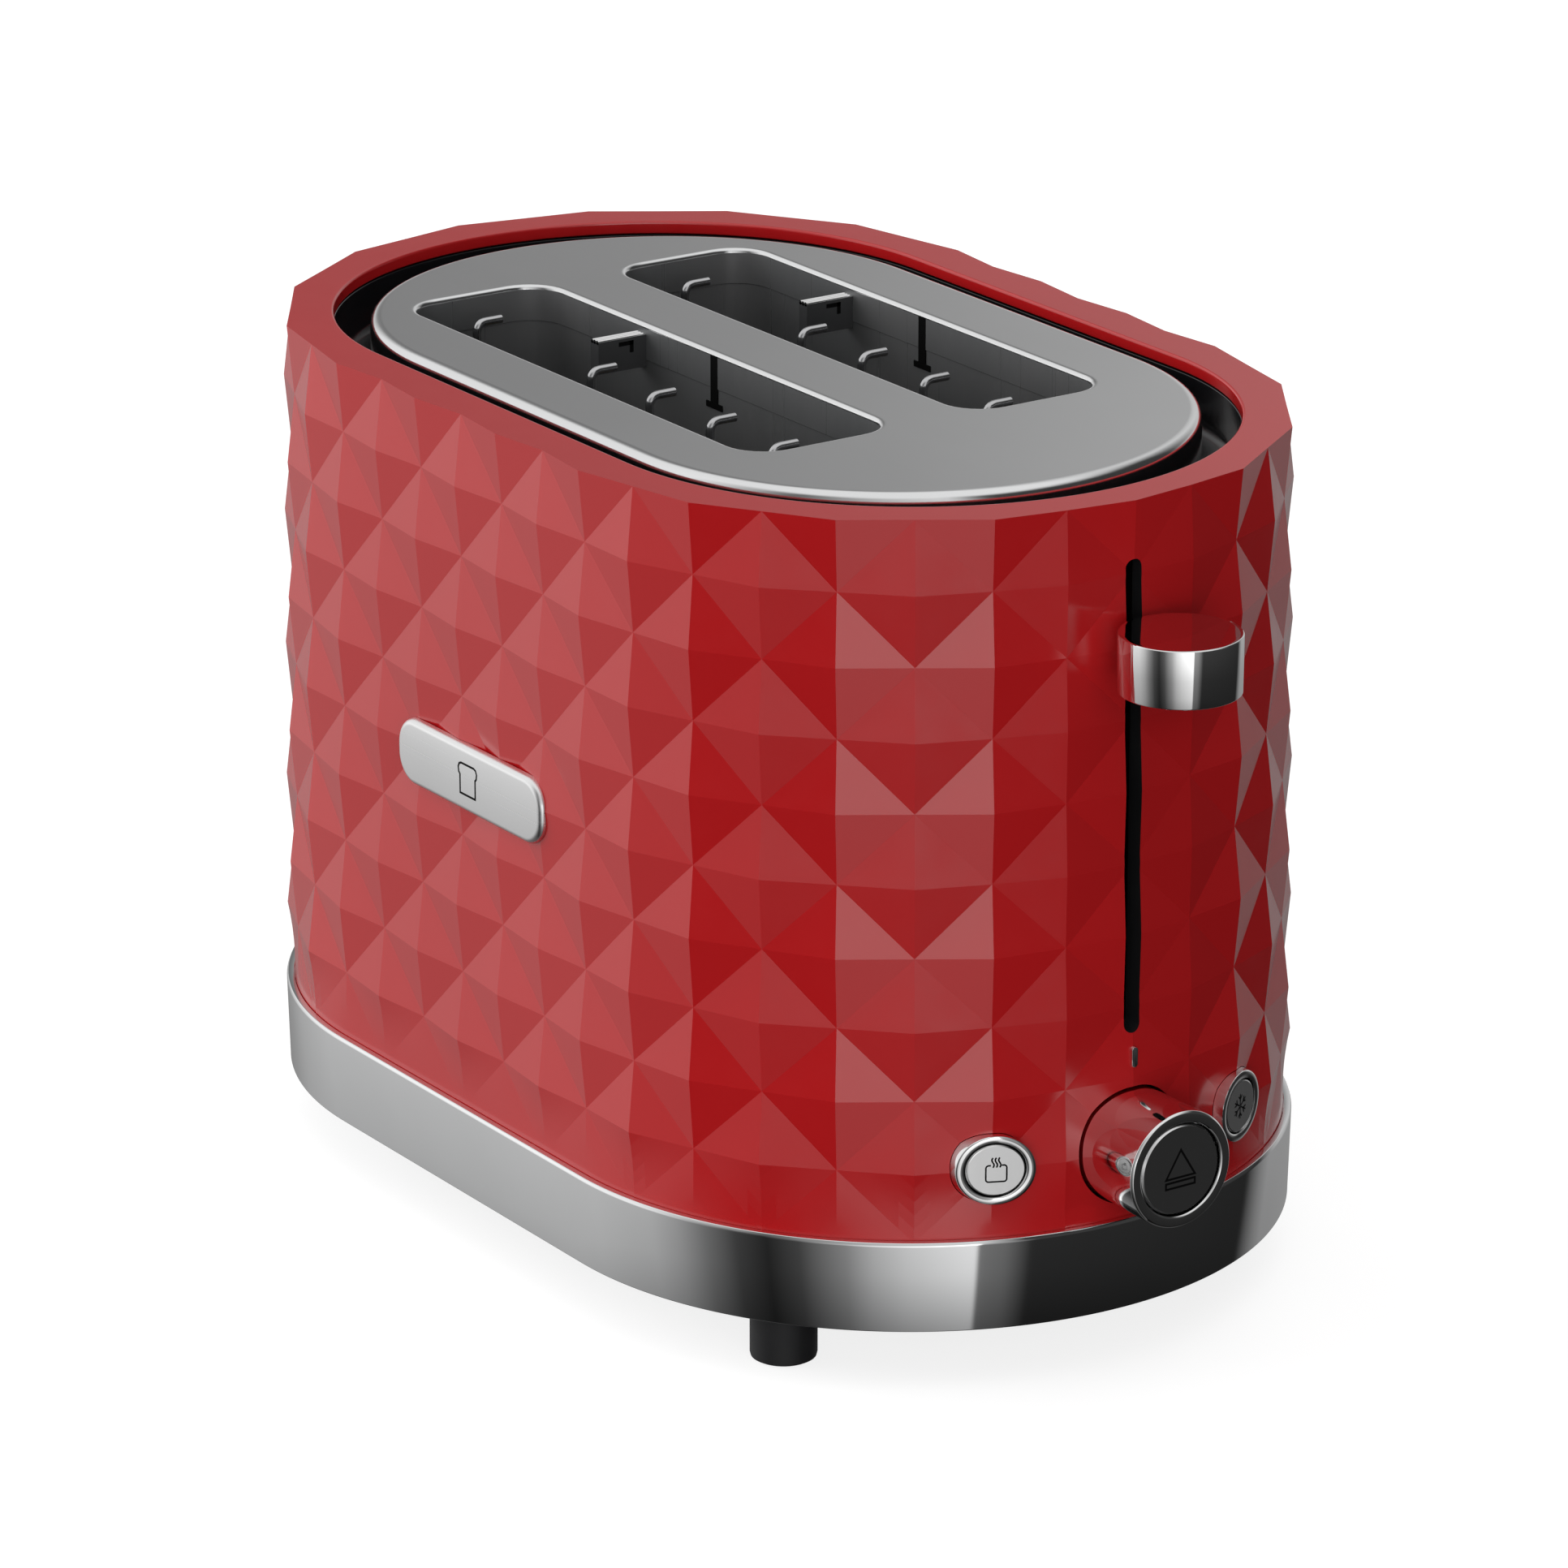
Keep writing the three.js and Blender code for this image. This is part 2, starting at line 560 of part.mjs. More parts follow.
// ---------------------------------------------------------------- bread guards
// A wire's bent top: up, over towards +Y, and a short straight end.
function guardHook(x, y) {
  const bend = HOOK_BEND;
  const top = GUARD_TOP - GUARD_WIRE_R;
  const path = new THREE.CurvePath();
  const [a, b] = [new THREE.Vector3(x, y, top - bend - 2), new THREE.Vector3(x, y, top - bend)];
  const corner = new THREE.Vector3(x, y, top);
  const c = new THREE.Vector3(x, y + bend, top);
  path.add(new THREE.LineCurve3(a, b));
  path.add(new THREE.QuadraticBezierCurve3(b, corner, c));
  path.add(new THREE.LineCurve3(c, new THREE.Vector3(x, y + bend + 1, top)));
  const section = new THREE.Shape();
  section.absarc(0, 0, GUARD_WIRE_R, 0, 2 * Math.PI, false);
  const options = { steps: 4, curveSegments: 5, bevelEnabled: false, extrudePath: path };
  return solid(new THREE.ExtrudeGeometry(section, options));
}

function breadGuard(y, hooked) {
  const first = SLOT.x - (GUARD_PITCH * (GUARD_WIRES - 1)) / 2;
  const last = first + GUARD_PITCH * (GUARD_WIRES - 1);
  const rails = [GUARD_LOW, GUARD_RAIL].map((z) => rodX(GUARD_WIRE_R, [first - 6, last + 6], y, z, 5));
  const wires = [];
  for (let i = 0; i < GUARD_WIRES; i++) {
    const x = first + i * GUARD_PITCH;
    const bent = hooked && i !== BARE_WIRE;
    wires.push(rodZ(GUARD_WIRE_R, x, y, [GUARD_LOW, bent ? GUARD_STEM_TOP : GUARD_PLAIN_TOP], 5));
    if (bent) wires.push(guardHook(x, y));
  }
  return union(...rails, ...wires);
}

for (const [side, y] of Object.entries(SLOT_Y)) {
  addPiece(`guard_${side}_slot_hooked`, breadGuard(y + GUARD_NEAR_SHIFT, true), springSteel);
  addPiece(`guard_${side}_slot_plain`, breadGuard(y + GUARD_FAR_SHIFT, false), springSteel);
}

// ---------------------------------------------------------------- carriage, racks and lever
function breadRack(slotY) {
  const y = slotY + LANE_SHIFT;
  const { top, width, depth, x0, x1 } = RACK;
  let strip = box([x0, x1], [y - width / 2, y + width / 2], [top - 1.5, top]);
  for (let i = 0; i < 8; i++) {
    const x = x0 + 12 + i * 17;
    strip = strip.subtract(box([x, x + 9], [y - 2.5, y + 2.5], [top - 5, top + 5]));
  }
  const rib = box([x0, x1], [y + width / 2 - 1.6, y + width / 2], [top - depth, top]);
  const arm = box([x1 - 2, CARRIAGE_X - GAP], [y - 1, y + 1], [top - depth, top - 0.5]);
  const bridge = box([x1 - 2, x1], [y - width / 2, y + width / 2], [top - depth, top]);
  return union(strip, rib, arm, bridge);
}

function carriage() {
  const [back, front] = [CARRIAGE_X, CARRIAGE_X + 2];
  const [nearLane, farLane] = Object.values(SLOT_Y).map((y) => y + LANE_SHIFT);
  const cross = box([back, front], [nearLane - 6, farLane + 6], [RACK.top - 15, RACK.top + 2]);
  const mast = box([back, front], [-7, 7], [RACK.top - 15, LEVER_ARM.high + 2]);
  const sleeve = box([front - 0.5, ROD.x + 6], [ROD.y - 6, ROD.y + 6], [SLEEVE.low, SLEEVE.high]);
  return union(cross, mast, sleeve).subtract(rodZ(ROD.r + 0.4, ROD.x, ROD.y, [50, 180], 20));
}

function leverArm() {
  const { thick, low, high } = LEVER_ARM;
  const back = CARRIAGE_X + 2 + GAP;
  const front = LEVER_CAP.x - LEVER_CAP.r - GAP;
  const flange = box([back, back + 2], [-6, 6], [low - 4, high]);
  return box([back, front], [-thick / 2, thick / 2], [low, high]).add(flange);
}

// A short upright cup turned over, which the finger presses down.
function leverCap() {
  const { r, wall, roof, height } = LEVER_CAP;
  const soft = 0.3;
  const under = height - roof;
  const profile = [[0, under], [r - wall, under], [r - wall, 0], [r - soft, 0], [r, soft],
    [r, height - soft], [r - soft, height], [0, height]];
  return turned(profile, "z", 40);
}

function returnSpring() {
  const { turns, wireR, low, high } = SPRING;
  const radius = ROD.r + 2;
  class Coil extends THREE.Curve {
    getPoint(t, target = new THREE.Vector3()) {
      const angle = 2 * Math.PI * turns * t;
      const z = low + wireR + (high - low - 2 * wireR) * t;
      return target.set(ROD.x + radius * Math.cos(angle), ROD.y + radius * Math.sin(angle), z);
    }
  }
  const section = new THREE.Shape();
  section.absarc(0, 0, wireR, 0, 2 * Math.PI, false);
  const options = { steps: turns * 8, curveSegments: 3, bevelEnabled: false, extrudePath: new Coil() };
  return solid(new THREE.ExtrudeGeometry(section, options));
}

for (const [side, y] of Object.entries(SLOT_Y)) addPiece("bread_rack_" + side, breadRack(y), sheetSteel);
addPiece("carriage", carriage(), sheetSteel);
addPiece("lever_arm", leverArm(), sheetSteel);
addPiece("lever_cap", leverCap(), chrome, [LEVER_CAP.x, 0, LEVER_CAP.top - LEVER_CAP.height]);
addPiece("guide_rod", rodZ(ROD.r, ROD.x, ROD.y, [ROD.low, ROD.high], 20), springSteel);
addPiece("return_spring", returnSpring(), springSteel);

// Iron plate on the carriage, which the magnet holds while the bread toasts.
function armature() {
  const { x, y } = MAGNET;
  const hanger = box([CARRIAGE_X + 2 + GAP, x[0] + 1], [y[0] + 4, y[1] - 4], [122.4, 123.6]);
  return box(x, y, [122, 124]).add(hanger);
}

function electromagnet() {
  const { x, y, z } = MAGNET;
  const core = box([x[0] + 4, x[1] - 4], [y[0] + 5, y[1] - 5], [z[0], z[1]]);
  const coil = box([x[0], x[1]], [y[0] + 1, y[1] - 1], [z[0] + 3, z[1] - 3]);
  return core.add(coil);
}

addPiece("armature_plate", armature(), springSteel);
addPiece("electromagnet", electromagnet(), copper);

// ---------------------------------------------------------------- knob, buttons, circuit board
function browningKnob() {
  const { back, front, r, bore, web, webThick } = KNOB;
  const profile = [[3, web], [r - 2, web], [r - 2, back], [r - 0.4, back], [r, front - 0.8],
    [r - 0.5, front], [bore + 0.5, front], [bore, front - 0.5], [bore, web + webThick],
    [3, web + webThick]];
  return turned([...profile, profile[0]], "x", 32);
}

function knobShaft() {
  const { r, bore, back } = SHAFT;
  const front = KNOB.web - GAP;
  const profile = [[bore, back], [r, back], [r, front], [bore, front], [bore, back]];
  return turned(profile, "x", 24);
}

function cancelButton() {
  const r = KNOB.bore - 0.35;
  const face = KNOB.front - 0.3;
  const back = face - 6;
  const profile = [[0, PUSH_ROD_END], [2.2, PUSH_ROD_END], [2.2, back], [r, back], [r, face - 0.6],
    [r - 0.6, face], [0, face]];
  return turned(profile, "x", 32);
}

// Everything in front of a button's leaning face.
function beyondFace(sign, setback = 0) {
  const geometry = new THREE.BoxGeometry(40, 60, 60);
  geometry.translate(20 - setback, 0, 0);
  geometry.rotateZ(THREE.MathUtils.degToRad(sign * BUTTON.lean));
  return solid(geometry.translate(BUTTON.face, sign * BUTTON.y, CONTROL_Z));
}

function buttonBezel(sign) {
  const reach = [119, 142];
  const y = sign * BUTTON.y;
  return rodX(BUTTON.r, reach, y, CONTROL_Z, 40)
    .subtract(rodX(BUTTON.capR + 0.35, [110, 150], y, CONTROL_Z, 40))
    .subtract(beyondFace(sign));
}

function buttonCap(sign) {
  const y = sign * BUTTON.y;
  return rodX(BUTTON.capR, [124, 142], y, CONTROL_Z, 40)
    .subtract(beyondFace(sign, 0.2))
    .add(rodX(2, [116 + PRESS + 0.4, 125], y, CONTROL_Z, 12));
}

function tactSwitch(y) {
  const x = BOARD_X + 1.6 + GAP;
  return box([x, x + 3.2], [y - 3, y + 3], [CONTROL_Z - 3, CONTROL_Z + 3]).add(
    rodX(1.4, [x + 3, x + 3.4], y, CONTROL_Z, 12),
  );
}

function potentiometer() {
  const [back, front] = [BOARD_X + 1.6 + GAP, 118];
  return box([back, front], [-11, 11], [CONTROL_Z - 11, CONTROL_Z + 11]).subtract(
    rodX(SHAFT.r + 0.4, [back - 5, front + 5], 0, CONTROL_Z, 24),
  );
}

function circuitBoard() {
  const shape = roundedRect(0, CONTROL_Z, 92, 42, 2);
  return prismX(shape, [BOARD_X, BOARD_X + 1.6], 3);
}

addPiece("browning_knob", browningKnob(), chrome, [0, 0, CONTROL_Z]);
addPiece("knob_shaft", knobShaft(), springSteel, [0, 0, CONTROL_Z]);
addPiece("cancel_button", cancelButton(), chrome, [0, 0, CONTROL_Z]);
for (const [name, sign] of [["reheat", -1], ["defrost", 1]]) {
  addPiece(name + "_bezel", buttonBezel(sign), chrome);
  addPiece(name + "_button", buttonCap(sign), chrome);
  addPiece(name + "_switch", tactSwitch(sign * BUTTON.y), blackPlastic);
}
addPiece("cancel_switch", tactSwitch(0), blackPlastic);
addPiece("potentiometer", potentiometer(), blackPlastic);
addPiece("circuit_board", circuitBoard(), board);
addPiece("terminal_block", box([-30, -10], [60, 71], [BASE_Z + BASE_THICK + GAP, 31]), blackPlastic);

export default toaster;
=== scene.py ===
"""Looks of a two-slice pop-up toaster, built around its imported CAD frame. Metres, +Z up, controls at +X."""

import math
from types import SimpleNamespace

import bmesh
import bpy
from mathutils import Matrix, Vector
from mathutils.geometry import tessellate_polygon


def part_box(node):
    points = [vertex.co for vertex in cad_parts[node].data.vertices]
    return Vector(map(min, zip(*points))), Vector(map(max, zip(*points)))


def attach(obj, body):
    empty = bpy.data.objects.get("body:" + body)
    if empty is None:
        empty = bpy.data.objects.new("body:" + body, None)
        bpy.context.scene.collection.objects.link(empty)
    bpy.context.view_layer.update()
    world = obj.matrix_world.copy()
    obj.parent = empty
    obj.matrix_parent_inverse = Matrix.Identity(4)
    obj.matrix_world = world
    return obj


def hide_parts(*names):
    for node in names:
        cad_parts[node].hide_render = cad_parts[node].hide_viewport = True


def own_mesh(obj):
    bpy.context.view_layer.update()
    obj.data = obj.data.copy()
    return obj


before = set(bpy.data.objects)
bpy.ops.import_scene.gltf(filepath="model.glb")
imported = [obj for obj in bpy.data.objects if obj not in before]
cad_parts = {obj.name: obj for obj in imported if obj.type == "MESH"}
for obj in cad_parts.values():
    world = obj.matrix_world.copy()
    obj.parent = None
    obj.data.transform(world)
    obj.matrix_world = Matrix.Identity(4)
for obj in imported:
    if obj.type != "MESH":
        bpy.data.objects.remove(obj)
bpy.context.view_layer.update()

MM = 0.001
SHEET = 0.9 * MM
HALF_PI = math.pi / 2


# ---------------------------------------------------------------- places, from the frame
def stadium_of(node):
    """A node whose plan is two half circles joined by straights: its middle, half straight and radius."""
    low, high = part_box(node)
    r = (high.y - low.y) / 2
    return SimpleNamespace(x=(low.x + high.x) / 2, s=(high.x - low.x) / 2 - r, r=r, low=low.z, high=high.z)


BAND = stadium_of("base_band")
PLATE = stadium_of("top_plate")
RIM_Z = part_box("outer_shell")[1].z
SHELL_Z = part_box("outer_shell")[0].z
BODY_X = BAND.x

# Plan and facets of the shell.
BODY = SimpleNamespace(s=50 * MM, r=84 * MM)
ARC_COLS = 16
SIDE_COLS = 6
COLS = 2 * (ARC_COLS + SIDE_COLS)
ROWS = 10
ROW_H = (RIM_Z - SHELL_Z) / ROWS
FACET_H = 1.7 * MM
STRIP_FACET_H = 0.7 * MM
FOOT_FACET_H = 0.3 * MM
FLARE = 0.0227
CAVITY_R = 81 * MM
MOUTH = SimpleNamespace(s=51 * MM, r=73.5 * MM)
RIM_THICK = 3 * MM
TROUGH = SimpleNamespace(depth=15 * MM, wall=2.4 * MM, floor=2.5 * MM, upstand=5 * MM, lap=2 * MM)
FINE = 5  # steps across each facet column and row
SMOOTH = 8  # the same where the outline has no facets

# Bread slots.
SLOT = SimpleNamespace(x=BODY_X - 11.5 * MM, length=144 * MM, width=38 * MM, corner=9 * MM, flange=8.5 * MM)
SLOT_Y = {"near": -28.8 * MM, "far": 28.8 * MM}
WIRES = 6
WIRE_PITCH = 24.2 * MM
BARE_WIRE = 1  # the wire of a hooked guard that has no hook
PLAIN_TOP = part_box("guard_near_slot_plain")[1].z

BUTTON_LEAN = math.radians(25.2)


# ---------------------------------------------------------------- materials
def new_material(name, color, roughness, metallic=0.0, coat=0.0):
    material = bpy.data.materials.new(name)
    material.use_nodes = True
    shader = material.node_tree.nodes["Principled BSDF"]
    shader.inputs["Base Color"].default_value = (*color, 1)
    shader.inputs["Roughness"].default_value = roughness
    shader.inputs["Metallic"].default_value = metallic
    shader.inputs["Coat Weight"].default_value = coat
    shader.inputs["Coat Roughness"].default_value = 0.05
    material.diffuse_color = (*color, 1)
    return material


class Nodes:
    """Short ways to add texture nodes in front of a material's shader."""

    def __init__(self, material):
        self.tree = material.node_tree
        self.shader = self.tree.nodes["Principled BSDF"]
        self.coords = self.tree.nodes.new("ShaderNodeTexCoord").outputs["Object"]

    def add(self, kind, **inputs):
        node = self.tree.nodes.new(kind)
        for key, value in inputs.items():
            socket = node.inputs[key.replace("_", " ")]
            if isinstance(value, bpy.types.NodeSocket):
                self.tree.links.new(value, socket)
            else:
                socket.default_value = value
        return node

    def stretched(self, scale, turn=(0, 0, 0)):
        node = self.add("ShaderNodeMapping", Vector=self.coords, Scale=scale, Rotation=turn)
        return node.outputs["Vector"]

    def noise(self, scale, detail=3.0, vector=None, distortion=0.0):
        node = self.add("ShaderNodeTexNoise", Vector=vector or self.coords, Scale=scale, Detail=detail,
                        Distortion=distortion)
        return node.outputs["Fac"]

    def span(self, value, low, high, from_low=0.3, from_high=0.7):
        node = self.add("ShaderNodeMapRange", Value=value, To_Min=low, To_Max=high, From_Min=from_low,
                        From_Max=from_high)
        return node.outputs["Result"]

    def blend(self, factor, color_a, color_b):
        ramp = self.add("ShaderNodeValToRGB", Fac=factor)
        ramp.color_ramp.elements[0].position = 0.3
        ramp.color_ramp.elements[1].position = 0.7
        ramp.color_ramp.elements[0].color = (*color_a, 1)
        ramp.color_ramp.elements[1].color = (*color_b, 1)
        return ramp.outputs["Color"]

    def bump(self, height, distance, strength=1.0, on_top_of=None):
        node = self.add("ShaderNodeBump", Height=height, Distance=distance, Strength=strength)
        if on_top_of:
            self.tree.links.new(on_top_of, node.inputs["Normal"])
        return node.outputs["Normal"]

    def link(self, value, socket):
        self.tree.links.new(value, self.shader.inputs[socket])


def tinted(color, share):
    return tuple(channel * share for channel in color)


def red_plastic():
    """Glossy moulded plastic: a deep red with a faint orange peel and fine grain."""
    red = (0.45, 0.0085, 0.0105)
    material = new_material("red_plastic", red, 0.18)
    material.node_tree.nodes["Principled BSDF"].inputs["Specular IOR Level"].default_value = 0.9
    nodes = Nodes(material)
    nodes.link(nodes.blend(nodes.noise(9, 2), tinted(red, 0.96), tinted(red, 1.04)), "Base Color")
    nodes.link(nodes.span(nodes.noise(160, 4), 0.15, 0.2), "Roughness")
    peel = nodes.bump(nodes.noise(210, 2), 0.012 * MM, 0.35)
    nodes.link(nodes.bump(nodes.noise(2600, 2), 0.003 * MM, 0.3, peel), "Normal")
    return material


def brushed_metal(name, color, roughness, streaks=(2, 900, 900), depth=0.004, spread=0.06):
    """Metal drawn through a brush: streaks run where the scale is small."""
    material = new_material(name, color, roughness, metallic=1.0)
    nodes = Nodes(material)
    lines = nodes.noise(1, 3, nodes.stretched(streaks))
    cloud = nodes.noise(14, 2)
    nodes.link(nodes.blend(cloud, tinted(color, 0.97), tinted(color, 1.03)), "Base Color")
    nodes.link(nodes.span(lines, roughness - spread, roughness + spread), "Roughness")
    nodes.link(nodes.bump(lines, depth * MM, 0.5), "Normal")
    return material


def polished_metal(name, color, roughness):
    """Plated metal: almost a mirror, with hair scratches and faint smears."""
    material = new_material(name, color, roughness, metallic=1.0)
    nodes = Nodes(material)
    hairs = nodes.noise(1, 4, nodes.stretched((60, 2400, 300), (0.3, 0.2, 0.9)), 0.4)
    nodes.link(nodes.blend(nodes.noise(30, 3), tinted(color, 0.98), tinted(color, 1.02)), "Base Color")
    nodes.link(nodes.span(nodes.noise(24, 4), roughness * 0.75, roughness * 1.35), "Roughness")
    nodes.link(nodes.bump(hairs, 0.0004 * MM, 0.12), "Normal")
    return material


def chamber_steel(name, color, roughness, stain, metallic=1.0):
    """Aluminised sheet that has been hot: cloudy, a little brown, with rolled streaks."""
    material = new_material(name, color, roughness, metallic=metallic)
    nodes = Nodes(material)
    cloud = nodes.noise(26, 5, distortion=0.6)
    streaks = nodes.noise(1, 3, nodes.stretched((900, 900, 8)))
    nodes.link(nodes.blend(cloud, color, stain), "Base Color")
    nodes.link(nodes.span(streaks, roughness - 0.07, roughness + 0.07), "Roughness")
    nodes.link(nodes.bump(streaks, 0.006 * MM, 0.4), "Normal")
    return material


def moulded_black(name, color, roughness, grain=1400, depth=0.01, coat=0.0, specular=0.5):
    """Black plastic or rubber with a moulded grain."""
    material = new_material(name, color, roughness, coat=coat)
    material.node_tree.nodes["Principled BSDF"].inputs["Specular IOR Level"].default_value = specular
    nodes = Nodes(material)
    nodes.link(nodes.blend(nodes.noise(40, 3), tinted(color, 0.85), tinted(color, 1.15)), "Base Color")
    nodes.link(nodes.span(nodes.noise(90, 3), roughness * 0.85, roughness * 1.15), "Roughness")
    nodes.link(nodes.bump(nodes.noise(grain, 2), depth * MM, 0.5), "Normal")
    return material


def mica_sheet():
    """Pressed mica: overlapping pale flakes."""
    material = new_material("mica_sheet", (0.55, 0.44, 0.27), 0.45, coat=0.2)
    nodes = Nodes(material)
    flakes = nodes.add("ShaderNodeTexVoronoi", Vector=nodes.coords, Scale=180.0)
    value = nodes.add("ShaderNodeSeparateColor", Color=flakes.outputs["Color"]).outputs["Red"]
    nodes.link(nodes.blend(value, (0.48, 0.37, 0.21), (0.66, 0.55, 0.36)), "Base Color")
    nodes.link(nodes.span(value, 0.35, 0.6), "Roughness")
    nodes.link(nodes.bump(flakes.outputs["Distance"], 0.05 * MM, 0.4), "Normal")
    return material


def circuit_laminate():
    """Green board with darker copper runs under the lacquer."""
    material = new_material("circuit_laminate", (0.03, 0.12, 0.05), 0.35, coat=0.4)
    nodes = Nodes(material)
    bricks = nodes.add("ShaderNodeTexBrick", Vector=nodes.stretched((1, 1, 1), (0, HALF_PI, 0)), Scale=120.0)
    bricks.inputs["Mortar Size"].default_value = 0.06
    nodes.link(nodes.blend(bricks.outputs["Fac"], (0.03, 0.12, 0.05), (0.06, 0.22, 0.09)), "Base Color")
    nodes.link(nodes.bump(bricks.outputs["Fac"], 0.03 * MM, 0.5), "Normal")
    return material


def wound_copper():
    """Enamelled winding: fine turns stacked along Z."""
    material = new_material("wound_copper", (0.42, 0.14, 0.05), 0.35, metallic=1.0)
    nodes = Nodes(material)
    turns = nodes.add("ShaderNodeTexWave", Vector=nodes.coords, Scale=800.0, Distortion=0.6)
    turns.bands_direction = "Z"
    nodes.link(nodes.blend(turns.outputs["Fac"], (0.20, 0.06, 0.02), (0.55, 0.20, 0.08)), "Base Color")
    nodes.link(nodes.bump(turns.outputs["Fac"], 0.15 * MM, 0.8), "Normal")
    return material


RED = red_plastic()
CHROME = polished_metal("chrome", (0.92, 0.92, 0.92), 0.05)
BAND_CHROME = polished_metal("band_chrome", (0.90, 0.905, 0.91), 0.05)
PLATE_STEEL = brushed_metal("plate_steel", (0.88, 0.885, 0.89), 0.16, (3, 1800, 3), 0.0003, 0.01)
BADGE_STEEL = brushed_metal("badge_steel", (0.95, 0.95, 0.95), 0.3, (4, 4, 1500), 0.001, 0.03)
SIDE_CAP_STEEL = brushed_metal("side_cap_steel", (0.95, 0.95, 0.95), 0.19, (900, 900, 40), 0.0001, 0.01)
CAP_STEEL = brushed_metal("cap_steel", (0.90, 0.90, 0.90), 0.16, (900, 900, 40), 0.0003, 0.02)
# The next steel is the chamber sheet darkened for the shade deep inside the slots: painted shade. The liners,
# the plate's slot flanges and the lever arm take it.
SLOT_SHADE_STEEL = chamber_steel("dark_steel", (0.135, 0.14, 0.143), 0.34, (0.16, 0.16, 0.162), 0.4)
# The next steel is darker still, for the lug's face in deeper shade: painted shade.
SHADED_STEEL = chamber_steel("shaded_steel", (0.06, 0.062, 0.064), 0.4, (0.075, 0.075, 0.077), 0.4)
REFLECTOR = chamber_steel("reflector_steel", (0.26, 0.26, 0.26), 0.38, (0.23, 0.22, 0.205), 0.6)
WIRE = polished_metal("wire_steel", (0.42, 0.42, 0.42), 0.22)
GUARD_WIRE = polished_metal("guard_wire", (0.6, 0.6, 0.61), 0.16)
SPRING_STEEL = polished_metal("spring_steel", (0.36, 0.36, 0.38), 0.25)
GLOSS_BLACK = moulded_black("gloss_black", (0.006, 0.006, 0.007), 0.18, 300, 0.004, 0.1, 0.4)
MATT_BLACK = moulded_black("matt_black", (0.012, 0.012, 0.013), 0.45)
RUBBER = moulded_black("foot_rubber", (0.014, 0.014, 0.015), 0.6, 900, 0.03)
ENGRAVED = moulded_black("engraved_black", (0.004, 0.004, 0.004), 0.5, 2000, 0.005, specular=0.05)
MICA = mica_sheet()
RIBBON = chamber_steel("nichrome_ribbon", (0.20, 0.17, 0.15), 0.4, (0.12, 0.10, 0.12))
LAMINATE = circuit_laminate()
COPPER = wound_copper()


# ---------------------------------------------------------------- mesh helpers
def full_turn(steps):
    """Angles round a circle, without the last, which is the first again."""
    return [2 * math.pi * k / steps for k in range(steps)]


def quarter_turn(steps):
    """Angles from 0 to 90 degrees, both ends included."""
    return [HALF_PI * k / steps for k in range(steps + 1)]


def finished(name, bm, material, smooth=35.0):
    """The bmesh as an object, with its faces outwards and its sharp edges marked by angle."""
    bmesh.ops.remove_doubles(bm, verts=bm.verts, dist=1e-7)
    bmesh.ops.recalc_face_normals(bm, faces=bm.faces)
    mesh = bpy.data.meshes.new(name)
    bm.to_mesh(mesh)
    bm.free()
    mesh.shade_smooth()
    mesh.set_sharp_from_angle(angle=math.radians(smooth))
    obj = bpy.data.objects.new(name, mesh)
    bpy.context.scene.collection.objects.link(obj)
    obj.data.materials.append(material)
    return obj


def placed(obj, body, slot, *nodes):
    """Rides on its body and stands for the CAD nodes, which it hides; the slot is not used."""
    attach(obj, body)
    if nodes:
        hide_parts(*nodes)
    return obj


def add_rings(bm, rings, closed=False, caps=(False, False)):
    """Joins rings of points, each with as many points, by quads; caps close the first and last ring."""
    made = [[bm.verts.new(point) for point in ring] for ring in rings]
    count = len(made[0])
    pairs = list(zip(made, made[1:]))
    if closed:
        pairs.append((made[-1], made[0]))
    for a, b in pairs:
        for i in range(count):
            j = (i + 1) % count
            bm.faces.new((a[i], a[j], b[j], b[i]))
    for ring, wanted in zip((made[0], made[-1]), caps):
        if wanted:
            bm.faces.new(ring)
    return made


def softened(points, steps=3):
    """A closed outline of (a, b) or (a, b, radius) corners, with the corners rounded by their radius."""
    out = []
    count = len(points)
    for i, point in enumerate(points):
        here = Vector(point[:2])
        radius = point[2] if len(point) > 2 else 0
        if not radius:
            out.append((here.x, here.y))
            continue
        before = (Vector(points[i - 1][:2]) - here).normalized()
        after = (Vector(points[(i + 1) % count][:2]) - here).normalized()
        half = before.angle(after) / 2
        reach = radius / math.tan(half)
        centre = here + (before + after).normalized() * (radius / math.sin(half))
        first = here + before * reach - centre
        last = here + after * reach - centre
        turn = first.angle_signed(last)
        for k in range(steps + 1):
            arm = first.copy()
            arm.rotate(Matrix.Rotation(-turn * k / steps, 2))
            out.append(((centre + arm).x, (centre + arm).y))
    return out


def turned(bm, profile, place, sides=72):
    """Carries a closed profile of (radius, height) points round an axis; place maps (x, y, height)."""
    rings = [[place(r * math.cos(t), r * math.sin(t), h) for r, h in profile] for t in full_turn(sides)]
    add_rings(bm, rings, closed=True)


def about_x(centre):
    """Placement for pieces turned about a line along X: height runs along +X."""
    return lambda a, b, h: (h, centre.y + a, centre.z + b)


def about_z(centre):
    return lambda a, b, h: (centre.x + a, centre.y + b, h)


def plan_point(column, s, r):
    """Point and outward normal of a stadium outline at a facet column, which may be a fraction."""
    k = (column + ARC_COLS / 2) % COLS
    half = k % (COLS / 2)
    sign = 1 if k < COLS / 2 else -1
    angle = -HALF_PI + math.pi * min(half, ARC_COLS) / ARC_COLS
    along = max(0.0, half - ARC_COLS) / SIDE_COLS
    x = s * (1 - 2 * along) + r * math.cos(angle)
    return Vector((sign * x, sign * r * math.sin(angle))), Vector((math.cos(angle), math.sin(angle))) * sign


def stadium_ring(s, r, z, x=BODY_X, count=COLS * FINE):
    ring = []
    for i in range(count):
        point = plan_point(COLS * i / count, s, r)[0]
        ring.append((x + point.x, point.y, z))
    return ring


